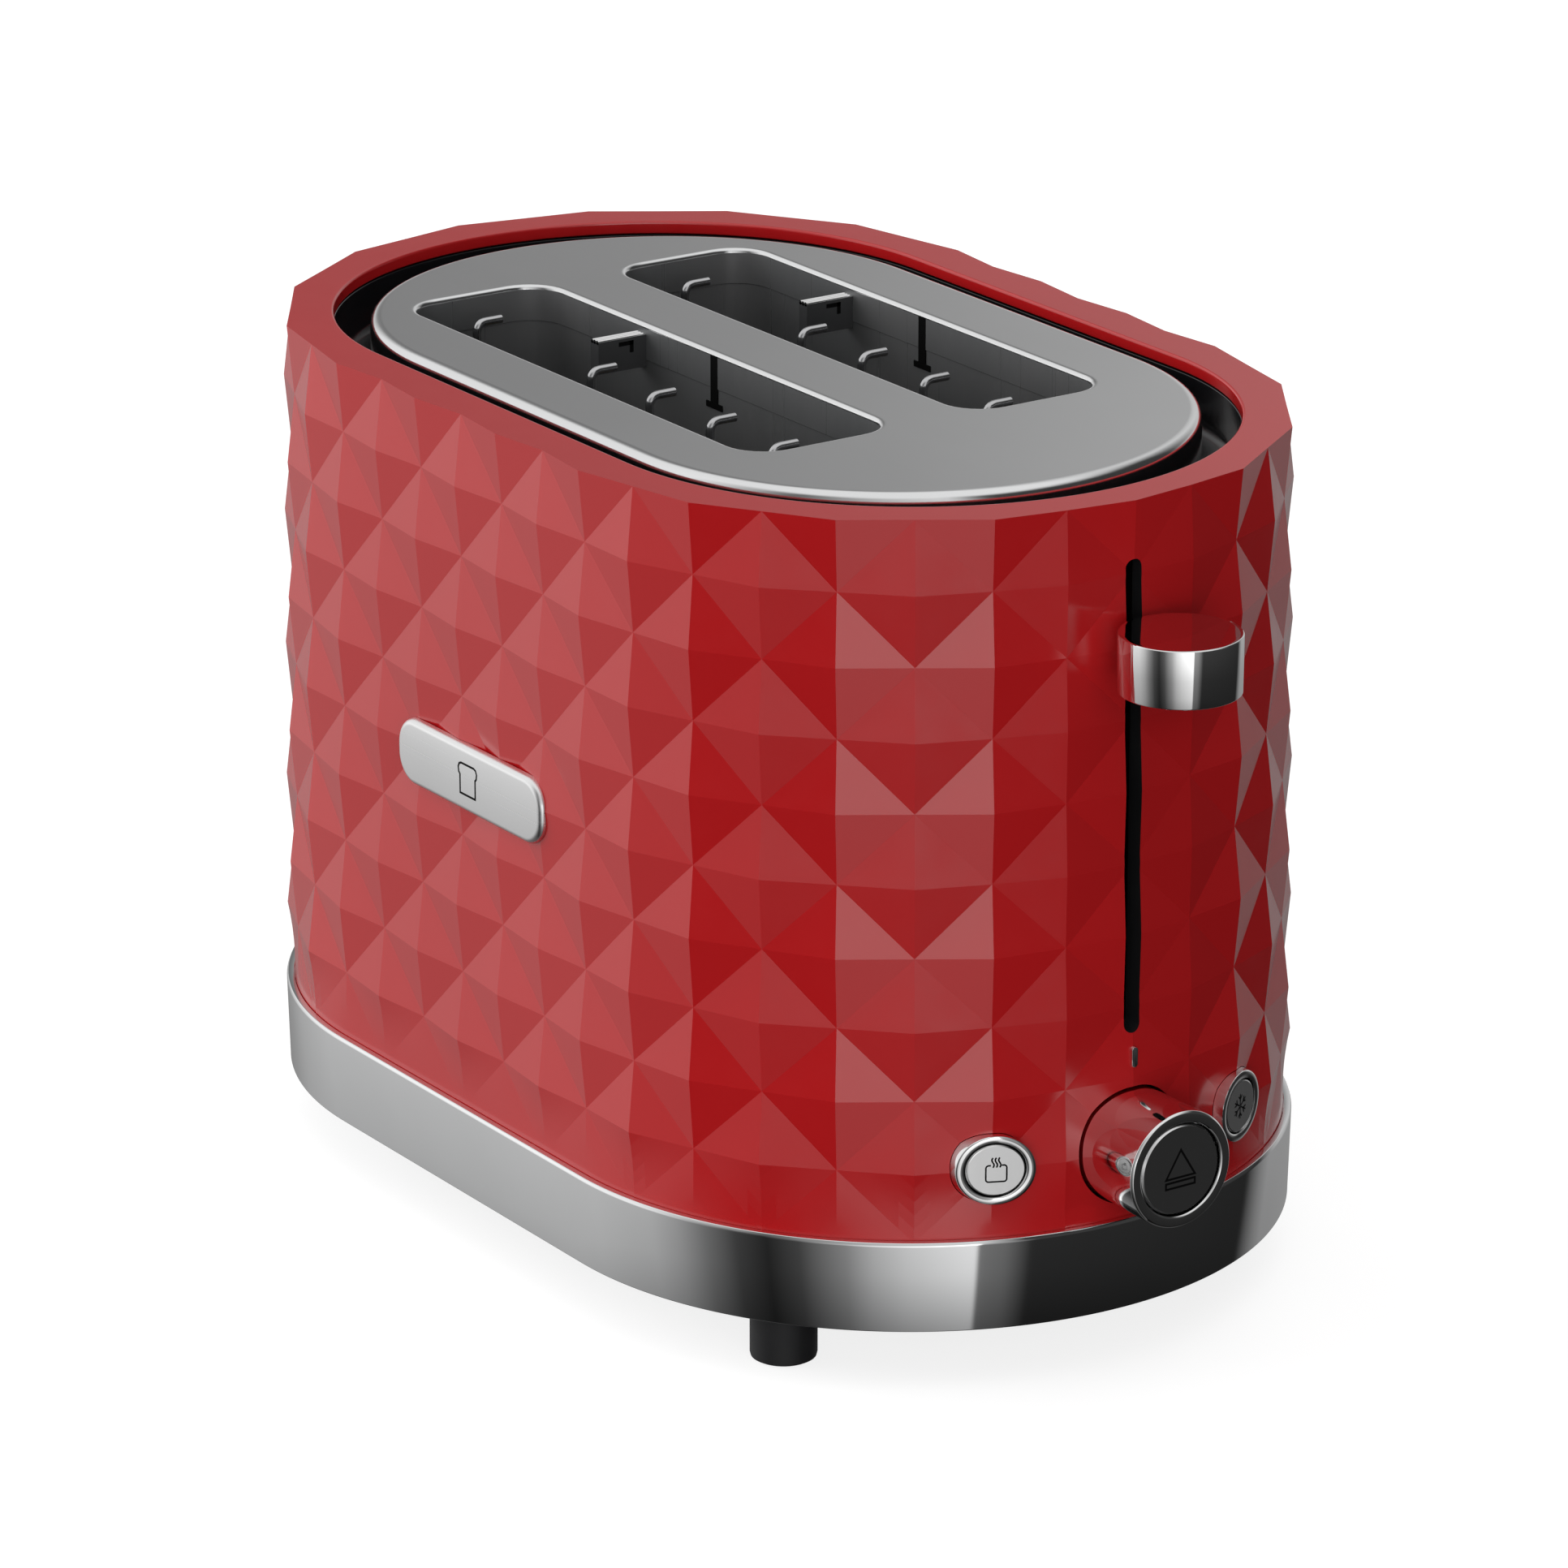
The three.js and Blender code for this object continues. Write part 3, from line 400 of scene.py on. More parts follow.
def rounded_rect(x, y, length, width, corner, steps=8):
    """Points of a rectangle with round corners, counter-clockwise."""
    out = []
    a, b = length / 2 - corner, width / 2 - corner
    for i, (sx, sy) in enumerate([(1, 1), (-1, 1), (-1, -1), (1, -1)]):
        for k in range(steps + 1):
            angle = HALF_PI * (i + k / steps)
            out.append((x + sx * a + corner * math.cos(angle), y + sy * b + corner * math.sin(angle)))
    return out


def add_block(bm, low, high):
    corners = [(low[0], low[1]), (high[0], low[1]), (high[0], high[1]), (low[0], high[1])]
    add_rings(bm, [[(*c, low[2]) for c in corners], [(*c, high[2]) for c in corners]], caps=(True, True))


def add_tube(bm, points, radius, sides=10):
    """A round wire along a line of points, with flat ends."""
    rings = []
    normal = None
    for i, point in enumerate(points):
        before = points[max(0, i - 1)]
        after = points[min(len(points) - 1, i + 1)]
        tangent = (Vector(after) - Vector(before)).normalized()
        if normal is None:
            normal = tangent.orthogonal().normalized()
        normal = (normal - tangent * normal.dot(tangent)).normalized()
        side = tangent.cross(normal)
        rings.append([Vector(point) + radius * (math.cos(t) * normal + math.sin(t) * side)
                      for t in full_turn(sides)])
    add_rings(bm, rings, caps=(True, True))


def carved(obj, cutter):
    """Cuts the cutter's solids out of the object, for good, and removes the cutter."""
    modifier = obj.modifiers.new("cut", "BOOLEAN")
    modifier.operation = "DIFFERENCE"
    modifier.solver = "EXACT"
    modifier.object = cutter
    modifier.use_self = True
    modifier.material_mode = "TRANSFER"
    graph = bpy.context.evaluated_depsgraph_get()
    mesh = bpy.data.meshes.new_from_object(obj.evaluated_get(graph))
    obj.modifiers.clear()
    mesh.name = obj.name
    obj.data = mesh
    bpy.data.objects.remove(cutter)
    return obj


def resharpened(obj, degrees):
    obj.data.shade_smooth()
    obj.data.set_sharp_from_angle(angle=math.radians(degrees))
    return obj


def thickened(obj, thickness):
    """Gives a sheet its thickness on the inner side, for good."""
    modifier = obj.modifiers.new("sheet", "SOLIDIFY")
    modifier.thickness = thickness
    modifier.offset = -1
    graph = bpy.context.evaluated_depsgraph_get()
    mesh = bpy.data.meshes.new_from_object(obj.evaluated_get(graph))
    obj.modifiers.clear()
    obj.data = mesh
    return obj


# ---------------------------------------------------------------- shell
def facet_corner(column, row):
    """A corner of the facet grid: diamonds' tips stand out, and the corners between them stay in."""
    point, out = plan_point(column, BODY.s, BODY.r)
    height = 0.0
    if (column + row) % 2 == 0:
        from_strip = min(column % COLS, COLS - column % COLS)
        height = STRIP_FACET_H if from_strip <= 1 else FACET_H
        if row == ROWS:
            height = FOOT_FACET_H
    place = point * (1 + FLARE * row / ROWS) + out * height
    return Vector((place.x, place.y, RIM_Z - row * ROW_H))


def facet_point(i, j):
    """A point of the fine grid, on the flat triangles between the corners."""
    cell_c, cell_r = min(i // FINE, COLS - 1), min(j // FINE, ROWS - 1)
    u, v = i / FINE - cell_c, j / FINE - cell_r
    a, b = facet_corner(cell_c, cell_r), facet_corner(cell_c + 1, cell_r)
    d, e = facet_corner(cell_c, cell_r + 1), facet_corner(cell_c + 1, cell_r + 1)
    if (cell_c + cell_r) % 2 == 0:
        point = a + u * (b - a) + v * (d - a) if u + v <= 1 else e + (1 - u) * (d - e) + (1 - v) * (b - e)
    else:
        point = a + u * (b - a) + v * (e - b) if u >= v else a + v * (d - a) + u * (e - d)
    # The last row runs into the smooth outline that stands on the band.
    share = max(0.0, j / FINE - (ROWS - 1))
    if share:
        grow = 1 + FLARE * j / FINE / ROWS
        smooth = plan_point(i / FINE, BODY.s, BODY.r)[0] * grow
        point = point.lerp(Vector((smooth.x, smooth.y, point.z)), share)
    return (BODY_X + point.x, point.y, point.z)


def shell_body():
    bm = bmesh.new()
    count = COLS * FINE
    edge = 0.25 * MM
    grid = [[bm.verts.new(facet_point(i, j)) for i in range(count)] for j in range(ROWS * FINE + 1)]
    for j in range(ROWS * FINE):
        for i in range(count):
            a, b = grid[j][i], grid[j][(i + 1) % count]
            d, e = grid[j + 1][i], grid[j + 1][(i + 1) % count]
            if (i // FINE + j // FINE) % 2 == 0:
                bm.faces.new((a, d, b))
                bm.faces.new((b, d, e))
            else:
                bm.faces.new((a, d, e))
                bm.faces.new((a, e, b))
    # From the rim over its rounded edge, down the mouth and back out to the cavity.
    under_rim = RIM_Z - RIM_THICK
    round_lip = 0.6 * MM
    inner = [(MOUTH.r + round_lip * (1 - math.sin(t)), RIM_Z - round_lip * (1 - math.cos(t)))
             for t in quarter_turn(4)]
    inner += [(MOUTH.r, under_rim + edge), (MOUTH.r + edge, under_rim)]
    rings = [stadium_ring(MOUTH.s, r, z) for r, z in inner]
    rings += [stadium_ring(BODY.s, CAVITY_R, z) for z in (under_rim, SHELL_Z)]
    made = [grid[0]] + [[bm.verts.new(point) for point in ring] for ring in rings] + [grid[-1]]
    for upper, lower in zip(made, made[1:]):
        for i in range(count):
            k = (i + 1) % count
            bm.faces.new((upper[i], upper[k], lower[k], lower[i]))
    return finished("shell_skin", bm, RED, 2.8)


def shell_cutters():
    """Lever slot, control holes and badge pocket, as one cutting object."""
    bm = bmesh.new()
    reach = (BODY_X + 100 * MM, BODY_X + 160 * MM)
    slot_low, slot_high = RIM_Z - 120 * MM, RIM_Z - 13.1 * MM
    outline = rounded_rect(0, (slot_low + slot_high) / 2, 4.2 * MM, slot_high - slot_low, 2.05 * MM)
    add_rings(bm, [[(x, y, z) for y, z in outline] for x in reach], caps=(True, True))
    # The lever slot's cut walls take the matt black instead of the red: painted shade of the opening.
    for face in bm.faces:
        face.material_index = 1
    for node, gap in (("browning_knob", 0.2), ("reheat_bezel", 0.15), ("defrost_bezel", 0.15)):
        low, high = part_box(node)
        centre, r = (low + high) / 2, (high.z - low.z) / 2 + gap * MM
        ring = [(centre.y + r * math.cos(t), centre.z + r * math.sin(t)) for t in full_turn(96)]
        add_rings(bm, [[(x, y, z) for y, z in ring] for x in reach], caps=(True, True))
    low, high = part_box("badge")
    grow = 0.1 * MM
    outline = rounded_rect((low.x + high.x) / 2, (low.z + high.z) / 2, high.x - low.x + grow,
                           high.z - low.z + grow, (high.z - low.z) / 2 - 0.7 * MM, 12)
    pocket = (-100 * MM, high.y + 0.3 * MM)
    add_rings(bm, [[(x, y, z) for x, z in outline] for y in pocket], caps=(True, True))
    cutters = finished("shell_cutters", bm, RED)
    cutters.data.materials.append(MATT_BLACK)
    return cutters


def build_shell():
    shell = carved(shell_body(), shell_cutters())
    placed(resharpened(shell, 2.8), "housing", "red_shell", "outer_shell")


# ---------------------------------------------------------------- top plate, collar and liners
def is_shaded_flange(point):
    """Whether a point of the top plate is on a slot's flange, below the rolled edge, where the sheet is
    painted darker as painted shade.
    """
    y = min(abs(point.y - slot_y) for slot_y in SLOT_Y.values())
    reach = 1 * MM
    inside = abs(point.x - SLOT.x) < SLOT.length / 2 + reach and y < SLOT.width / 2 + reach
    return inside and point.z < PLATE.high - 1.15 * MM


def slot_outline(y, grow):
    return rounded_rect(SLOT.x, y, SLOT.length + 2 * grow, SLOT.width + 2 * grow, SLOT.corner + grow)


def build_top_plate():
    """One pressed sheet: rolled outer skirt, two slots with rolled flanges, the flanges painted darker as
    painted shade.
    """
    bm = bmesh.new()
    roll, slot_roll = 2.4 * MM, 1.1 * MM
    top = PLATE.high
    arcs = quarter_turn(6)
    flat = 0.4 * MM
    count = COLS * 6
    outer = [(PLATE.r - roll - flat, top)]
    outer += [(PLATE.r - roll + roll * math.sin(t), top - roll + roll * math.cos(t)) for t in arcs]
    rings = [stadium_ring(PLATE.s, r, z, PLATE.x, count) for r, z in outer]
    rings.append(stadium_ring(PLATE.s, PLATE.r, PLATE.low, PLATE.x, count))
    made = add_rings(bm, rings)
    holes = []
    for y in SLOT_Y.values():
        slot_rings = []
        steps_down = [(slot_roll + flat, 0)]
        steps_down += [(slot_roll * (1 - math.sin(t)), slot_roll * (1 - math.cos(t))) for t in arcs]
        for grow, drop in steps_down:
            slot_rings.append([(px, py, top - drop) for px, py in slot_outline(y, grow)])
        last = [(px, py, top - SLOT.flange) for px, py, _ in slot_rings[-1]]
        holes.append(add_rings(bm, slot_rings + [last])[0])
    loops = [made[0], *holes]
    corners = [vert for loop in loops for vert in loop]
    for triangle in tessellate_polygon([[vert.co for vert in loop] for loop in loops]):
        bm.faces.new([corners[i] for i in triangle])
    bmesh.ops.recalc_face_normals(bm, faces=bm.faces)
    topmost = max(bm.faces, key=lambda face: face.calc_center_median().z)
    if topmost.normal.z < 0:
        bmesh.ops.reverse_faces(bm, faces=bm.faces)
    mesh = bpy.data.meshes.new("plate_skin")
    bm.to_mesh(mesh)
    bm.free()
    plate = bpy.data.objects.new("plate_skin", mesh)
    bpy.context.scene.collection.objects.link(plate)
    plate.data.materials.append(PLATE_STEEL)
    plate.data.materials.append(SLOT_SHADE_STEEL)
    thickened(plate, SHEET)
    # The slot flanges take the darker steel and the top the bright satin steel: painted shade inside the
    # slots on one sheet.
    dark = plate.data.materials.find(SLOT_SHADE_STEEL.name)
    for face in plate.data.polygons:
        if is_shaded_flange(face.center):
            face.material_index = dark
    placed(resharpened(plate, 30), "housing", "satin_steel", "top_plate")


def build_collar():
    bm = bmesh.new()
    floor = RIM_Z - TROUGH.depth
    low = floor - TROUGH.floor
    rim = RIM_Z - RIM_THICK - 0.3 * MM
    inside = PLATE.r - SHEET - 0.3 * MM
    outer = MOUTH.r + TROUGH.wall
    upstand = floor + TROUGH.upstand
    profile = [(inside - TROUGH.lap, low), (outer, low), (outer, rim), (MOUTH.r, rim, 0.3 * MM),
               (MOUTH.r, floor, 3.4 * MM), (inside, floor, 1.2 * MM), (inside, upstand, 0.6 * MM),
               (inside - TROUGH.lap, upstand)]
    middle = (MOUTH.r + inside) / 2
    add_rings(bm, [stadium_ring(MOUTH.s if r > middle else PLATE.s, r, z, count=COLS * SMOOTH)
                   for r, z in softened(profile, 6)], closed=True)
    placed(finished("collar_trough", bm, GLOSS_BLACK), "housing", "black_plastic", "top_collar")


def build_liner(side, y):
    bm = bmesh.new()
    node = f"slot_liner_{side}"
    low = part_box(node)[0].z
    high = PLATE.high - SLOT.flange - 0.15 * MM
    rings = []
    for grow, z in ((0.2, low), (0.2, high), (1.1, high), (1.1, low)):
        grow *= MM
        rings.append([(px, py, z) for px, py in slot_outline(y, grow)])
    add_rings(bm, rings, closed=True)
    # The liner's darkened steel is painted shade.
    placed(finished(f"liner_skin_{side}", bm, SLOT_SHADE_STEEL), "housing", "dark_steel", node)


def build_slot_details(side, y):
    """On a slot's +Y wall: a ribbed lug with a small slit under it, and a T-shaped slit farther on; each slit
    is a thin black block, painted shade of an opening.
    """
    wall = y + SLOT.width / 2
    lug = SimpleNamespace(x=BODY_X - 40.5 * MM, width=3.2 * MM, reach=13 * MM, low=PLATE.high - 10 * MM,
                          high=PLATE.high - 2 * MM)
    # The lug's body takes the darkest steel, darker than the wall it stands on: painted shade on its face.
    bm = bmesh.new()
    add_block(bm, (lug.x - lug.width / 2, wall - lug.reach, lug.low),
              (lug.x + lug.width / 2, wall, lug.high - 0.5 * MM))
    placed(finished(f"lug_{side}", bm, SHADED_STEEL), "housing", "dark_steel")
    bm = bmesh.new()
    for k in range(3):
        x = lug.x + (k - 1) * lug.width / 3
        add_tube(bm, [(x, wall - lug.reach, lug.high - 0.5 * MM), (x, wall, lug.high - 0.5 * MM)],
                 lug.width / 6)
    placed(finished(f"lug_ribs_{side}", bm, CHROME, 50), "housing", "bright_chrome")
    # Each slit opening is drawn as a thin black block barely proud of the wall: painted shade standing for
    # the dark inside of the opening.
    bm = bmesh.new()
    proud = 0.06 * MM
    face_x = lug.x + lug.width / 2
    for (y0, y1), (z0, z1) in (((-7.5, -3.5), (-4.2, -3.2)), ((-4.5, -3.5), (-6, -3.2))):
        add_block(bm, (face_x - proud, wall + y0 * MM, PLATE.high + z0 * MM),
                  (face_x + proud, wall + y1 * MM, PLATE.high + z1 * MM))
    tee_x = BODY_X - 11 * MM
    for half, (z0, z1) in ((1.4, (-12.0, -0.9)), (3.2, (-13.4, -12.0))):
        add_block(bm, (tee_x - half * MM, wall - proud, PLATE.high + z0 * MM),
                  (tee_x + half * MM, wall + 0.4 * MM, PLATE.high + z1 * MM))
    placed(finished(f"slit_shade_{side}", bm, ENGRAVED), "housing", "dark_steel")


# ---------------------------------------------------------------- band, feet, tray front
def build_band():
    bm = bmesh.new()
    wall = 1.2 * MM
    inner = BAND.r - wall
    ledge = SHELL_Z - 0.3 * MM
    ledge_r = 82 * MM
    shell_r = BODY.r * (1 + FLARE) + 0.15 * MM
    profile = [(BAND.r - 0.5 * MM, BAND.low, 0.25 * MM), (BAND.r, SHELL_Z - 0.2 * MM, 1 * MM),
               (BAND.r - 0.25 * MM, BAND.high, 0.3 * MM), (shell_r, BAND.high, 0.1 * MM),
               (shell_r, ledge), (ledge_r, ledge), (ledge_r, ledge - 1.6 * MM), (inner, ledge - 1.6 * MM),
               (inner, BAND.low)]
    rings = [stadium_ring(BAND.s, r, z, count=COLS * SMOOTH) for r, z in softened(profile, 4)]
    add_rings(bm, rings, closed=True)
    band = finished("band_skin", bm, BAND_CHROME, 30)
    cutter = bmesh.new()
    low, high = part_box("crumb_tray_front")
    gap = 0.4 * MM
    add_block(cutter, (BODY_X - 160 * MM, low.y - gap, low.z - gap),
              (BODY_X - 60 * MM, high.y + gap, high.z + gap))
    carved(band, finished("band_window", cutter, BAND_CHROME))
    placed(resharpened(band, 30), "housing", "bright_chrome", "base_band")


def build_tray_front():
    """The tray's curved front, flush with the band, with a thumb notch under its lower edge."""
    bm = bmesh.new()
    low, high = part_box("crumb_tray_front")
    outer, inner = BAND.r - 0.1 * MM, BAND.r - 4 * MM
    soft = 0.35 * MM
    profile = softened([(inner, low.z), (outer, low.z, soft), (outer, high.z, soft), (inner, high.z)], 3)
    reach = math.asin(high.y / outer)
    rings = []
    for k in range(49):
        angle = math.pi - reach + 2 * reach * k / 48
        rings.append([(BODY_X - BAND.s + r * math.cos(angle), r * math.sin(angle), z) for r, z in profile])
    add_rings(bm, rings, caps=(True, True))
    front = finished("tray_front_skin", bm, BAND_CHROME, 30)
    notch = bmesh.new()
    outline = rounded_rect(0, low.z - 1 * MM, 36 * MM, 8 * MM, 3 * MM)
    span = (BODY_X - 160 * MM, BODY_X - BAND.s - BAND.r + 1.5 * MM)
    add_rings(notch, [[(x, y, z) for y, z in outline] for x in span], caps=(True, True))
    carved(front, finished("thumb_notch", notch, BAND_CHROME))
    placed(resharpened(front, 30), "crumb_tray", "bright_chrome", "crumb_tray_front")


def build_feet():
    for end in ("front", "rear"):
        for side in ("near", "far"):
            node = f"foot_{end}_{side}"
            low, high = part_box(node)
            r = (high.x - low.x) / 2
            bm = bmesh.new()
            profile = [(0, low.z), (r - 2.5 * MM, low.z), (r - 2 * MM, low.z + 0.4 * MM),
                       (r - 1.6 * MM, low.z), (r - 0.9 * MM, low.z), (r - 0.2 * MM, low.z + 0.4 * MM),
                       (r, low.z + 1.2 * MM), (r, high.z), (0, high.z)]
            turned(bm, profile, about_z((low + high) / 2), 48)
            placed(finished(f"foot_skin_{end}_{side}", bm, RUBBER, 40), "housing", "foot_rubber", node)


# ---------------------------------------------------------------- controls
def icon_grooves(bm, strokes, place, width, depth):
    """Thin dark inlays drawn as strips along lines of (a, b) points on a face."""
    for points, closed in strokes:
        count = len(points)
        left, right = [], []
        for i, point in enumerate(points):
            here = Vector(point)
            before = Vector(points[i - 1]) if closed or i else here
            after = Vector(points[(i + 1) % count]) if closed or i < count - 1 else here
            arms = [v.normalized() for v in (here - before, after - here) if v.length > 1e-9]
            along = (arms[0] + arms[-1]).normalized()
            side = Vector((-along.y, along.x))
            stretch = 1 / max(0.5, abs(side.dot(Vector((-arms[0].y, arms[0].x)))))
            left.append(here + side * width / 2 * stretch)
            right.append(here - side * width / 2 * stretch)
        rings = [[place(p.x, p.y, depth) for p in left], [place(p.x, p.y, depth) for p in right],
                 [place(p.x, p.y, -depth) for p in right], [place(p.x, p.y, -depth) for p in left]]
        verts = [[bm.verts.new(p) for p in ring] for ring in rings]
        last = count if closed else count - 1
        for i in range(last):
            j = (i + 1) % count
            for a, b in zip(verts, verts[1:] + verts[:1]):
                bm.faces.new((a[i], a[j], b[j], b[i]))
        if not closed:
            bm.faces.new([ring[0] for ring in verts])
            bm.faces.new([ring[-1] for ring in verts])


def build_knob():
    low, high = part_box("browning_knob")
    centre = (low + high) / 2
    r = (high.z - low.z) / 2
    bore = r - 2.7 * MM
    web = high.x - 15.2 * MM
    profile = [(3 * MM, web), (r - 2 * MM, web), (r - 2 * MM, low.x), (r - 0.4 * MM, low.x),
               (r - 0.05 * MM, high.x - 0.5 * MM, 0.4 * MM), (r - 0.5 * MM, high.x, 0.3 * MM),
               (bore + 0.35 * MM, high.x, 0.2 * MM), (bore, high.x - 0.35 * MM, 0.2 * MM),
               (bore, web + 2 * MM), (3 * MM, web + 2 * MM)]
    bm = bmesh.new()
    turned(bm, softened(profile, 3), about_x(centre), 128)
    placed(finished("knob_skin", bm, CHROME, 30), "browning_knob", "bright_chrome", "browning_knob")


def build_cancel_button():
    low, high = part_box("cancel_button")
    centre = (low + high) / 2
    r = (high.z - low.z) / 2
    back = high.x - 6 * MM
    profile = [(0, low.x), (2.2 * MM, low.x), (2.2 * MM, back), (r, back), (r, high.x - 0.45 * MM),
               (r - 0.45 * MM, high.x), (0, high.x)]
    bm = bmesh.new()
    turned(bm, profile, about_x(centre), 96)
    placed(finished("cancel_skin", bm, CAP_STEEL, 30), "cancel_button", "bright_chrome", "cancel_button")
    # Raise sign: a triangle over a bar.
    side = 3.9 * MM
    triangle = [(0, 4.6 * MM), (-side, -1.7 * MM), (side, -1.7 * MM)]
    bar = [(-side, -2.6 * MM), (side, -2.6 * MM), (side, -3.9 * MM), (-side, -3.9 * MM)]
    bm = bmesh.new()
    icon_grooves(bm, [(triangle, True), (bar, True)],
                 lambda a, b, h: (high.x + h, centre.y + a, centre.z + b), 0.5 * MM, 0.03 * MM)
    placed(finished("cancel_icon", bm, ENGRAVED), "cancel_button", "black_plastic")


def leaning(node, sign):
    """Placement on a button's slanted face: a runs to the right seen from outside, b up, h outwards."""
    low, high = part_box(node)
    centre = (low + high) / 2
    turn = Matrix.Rotation(sign * BUTTON_LEAN, 3, "Z")
    # The face's middle lies on the bezel's axis, half way between its nearest and farthest edge.
    r = (high.z - low.z) / 2
    face = Vector((high.x - r * math.tan(BUTTON_LEAN), centre.y, centre.z))
    return lambda a, b, h: face + turn @ Vector((h, a, b))


def slanted_disc(bm, centre, radius, back, face_x, sign, edge):
    """A solid round bar along X whose front is cut off slanting, with a softened front edge."""
    slope = -math.tan(sign * BUTTON_LEAN)
    steps = full_turn(96)
    rings = [[(back, centre.y + radius * math.cos(t), centre.z + radius * math.sin(t)) for t in steps]]
    for inset, drop in ((0, edge), (0.3 * edge, 0.3 * edge), (edge, 0)):
        r = radius - inset
        rings.append([(face_x + slope * r * math.cos(t) - drop, centre.y + r * math.cos(t),
                       centre.z + r * math.sin(t)) for t in steps])
    add_rings(bm, rings, caps=(True, True))


def slanted_tube(bm, centre, outer, inner, back, face_x, sign, edge):
    """A tube along X whose front is cut off slanting, with softened front edges."""
    slope = -math.tan(sign * BUTTON_LEAN)
    rings = []
    for angle in full_turn(96):
        c, s = math.cos(angle), math.sin(angle)

        def at(r, drop):
            return (face_x + slope * r * c - drop, centre.y + r * c, centre.z + r * s)

        ring = [(back, centre.y + inner * c, centre.z + inner * s)]
        ring.append((back, centre.y + outer * c, centre.z + outer * s))
        ring += [at(outer, edge), at(outer - 0.3 * edge, 0.3 * edge), at(outer - edge, 0)]
        ring += [at(inner + edge, 0), at(inner + 0.3 * edge, 0.3 * edge), at(inner, edge)]
        rings.append(ring)
    add_rings(bm, rings, closed=True)


def toast_icon():
    """A slice outline with three wisps of steam."""
    steps = 4
    middle, height = -0.7 * MM, 3.8 * MM
    corners = rounded_rect(0, middle, 4.6 * MM, height, 0.6 * MM, steps)
    # The outline is open in the middle of its top edge, where the steam rises.
    gap, top = 1.2 * MM, middle + height / 2
    crust = [(-gap, top)] + corners[steps + 1:] + corners[:steps + 1] + [(gap, top)]
    strokes = [(crust, False)]
    for x in (-0.75 * MM, 0, 0.75 * MM):
        parts = [k / 8 for k in range(9)]
        wisp = [(x + 0.25 * MM * math.sin(2 * math.pi * t), 0.7 * MM + 2.3 * MM * t) for t in parts]
        strokes.append((wisp, False))
    return strokes


def flake_icon():
    """Six arms with barbs."""
    strokes = []
    arm = 2.9 * MM
    for k in range(6):
        t = math.pi / 2 + math.pi * k / 3
        tip = Vector((math.cos(t), math.sin(t)))
        side = Vector((-tip.y, tip.x))
        strokes.append(([tuple(tip * 0.15 * MM), tuple(tip * arm)], False))
        ends = [tip * arm * 0.85 + side * 0.8 * MM, tip * arm * 0.55, tip * arm * 0.85 - side * 0.8 * MM]
        barb = [tuple(end) for end in ends]
        strokes.append((barb, False))
    return strokes


def build_side_button(name, sign, icon):
    bezel, button = f"{name}_bezel", f"{name}_button"
    low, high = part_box(bezel)
    centre = (low + high) / 2
    r = (high.z - low.z) / 2
    face_x = high.x - r * math.tan(BUTTON_LEAN)
    cap_low, cap_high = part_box(button)
    cap_r = (cap_high.z - cap_low.z) / 2
    bm = bmesh.new()
    slanted_tube(bm, centre, r, cap_r + 0.35 * MM, low.x, face_x, sign, 0.35 * MM)
    placed(finished(f"{name}_bezel_skin", bm, CHROME, 40), "housing", "bright_chrome", bezel)
    bm = bmesh.new()
    slanted_disc(bm, centre, cap_r, face_x - 9 * MM, face_x - 0.2 * MM, sign, 0.3 * MM)
    rod = [(0, cap_low.x), (2 * MM, cap_low.x), (2 * MM, face_x - 8.5 * MM), (0, face_x - 8.5 * MM)]
    turned(bm, rod, about_x(centre), 32)
    placed(finished(f"{name}_cap_skin", bm, SIDE_CAP_STEEL, 15), button, "bright_chrome", button)
    bm = bmesh.new()
    base = leaning(bezel, sign)
    icon_grooves(bm, icon, lambda a, b, h: base(a, b, h - 0.2 * MM), 0.36 * MM, 0.04 * MM)
    placed(finished(f"{name}_icon", bm, ENGRAVED), button, "black_plastic")


def build_lever():
    low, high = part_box("lever_cap")
    centre = (low + high) / 2
    r = (high.y - low.y) / 2
    wall, soft = 1.3 * MM, 0.35 * MM
    under = high.z - 2 * MM
    profile = [(0.01 * MM, under), (r - wall, under), (r - wall, low.z, soft), (r, low.z, soft),
               (r, high.z, soft), (r - 1 * MM, high.z), (0.01 * MM, high.z)]
    bm = bmesh.new()
    turned(bm, softened(profile, 3), about_z(centre), 128)
    placed(finished("lever_cap_skin", bm, CHROME, 25), "carriage", "bright_chrome", "lever_cap")


def build_index_mark():
    low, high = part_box("index_mark")
    centre = (low + high) / 2
    width, height = high.y - low.y, high.z - low.z
    rings = []
    for inset, x in ((0, low.x), (0, high.x - 0.2 * MM), (0.06 * MM, high.x - 0.06 * MM), (0.2 * MM, high.x)):
        corner = width / 2 - inset - 1e-5
        outline = rounded_rect(centre.y, centre.z, width - 2 * inset, height - 2 * inset, corner, 6)
        rings.append([(x, y, z) for y, z in outline])
    bm = bmesh.new()
    add_rings(bm, rings, caps=(True, True))
    placed(finished("index_mark_skin", bm, CHROME), "housing", "bright_chrome", "index_mark")


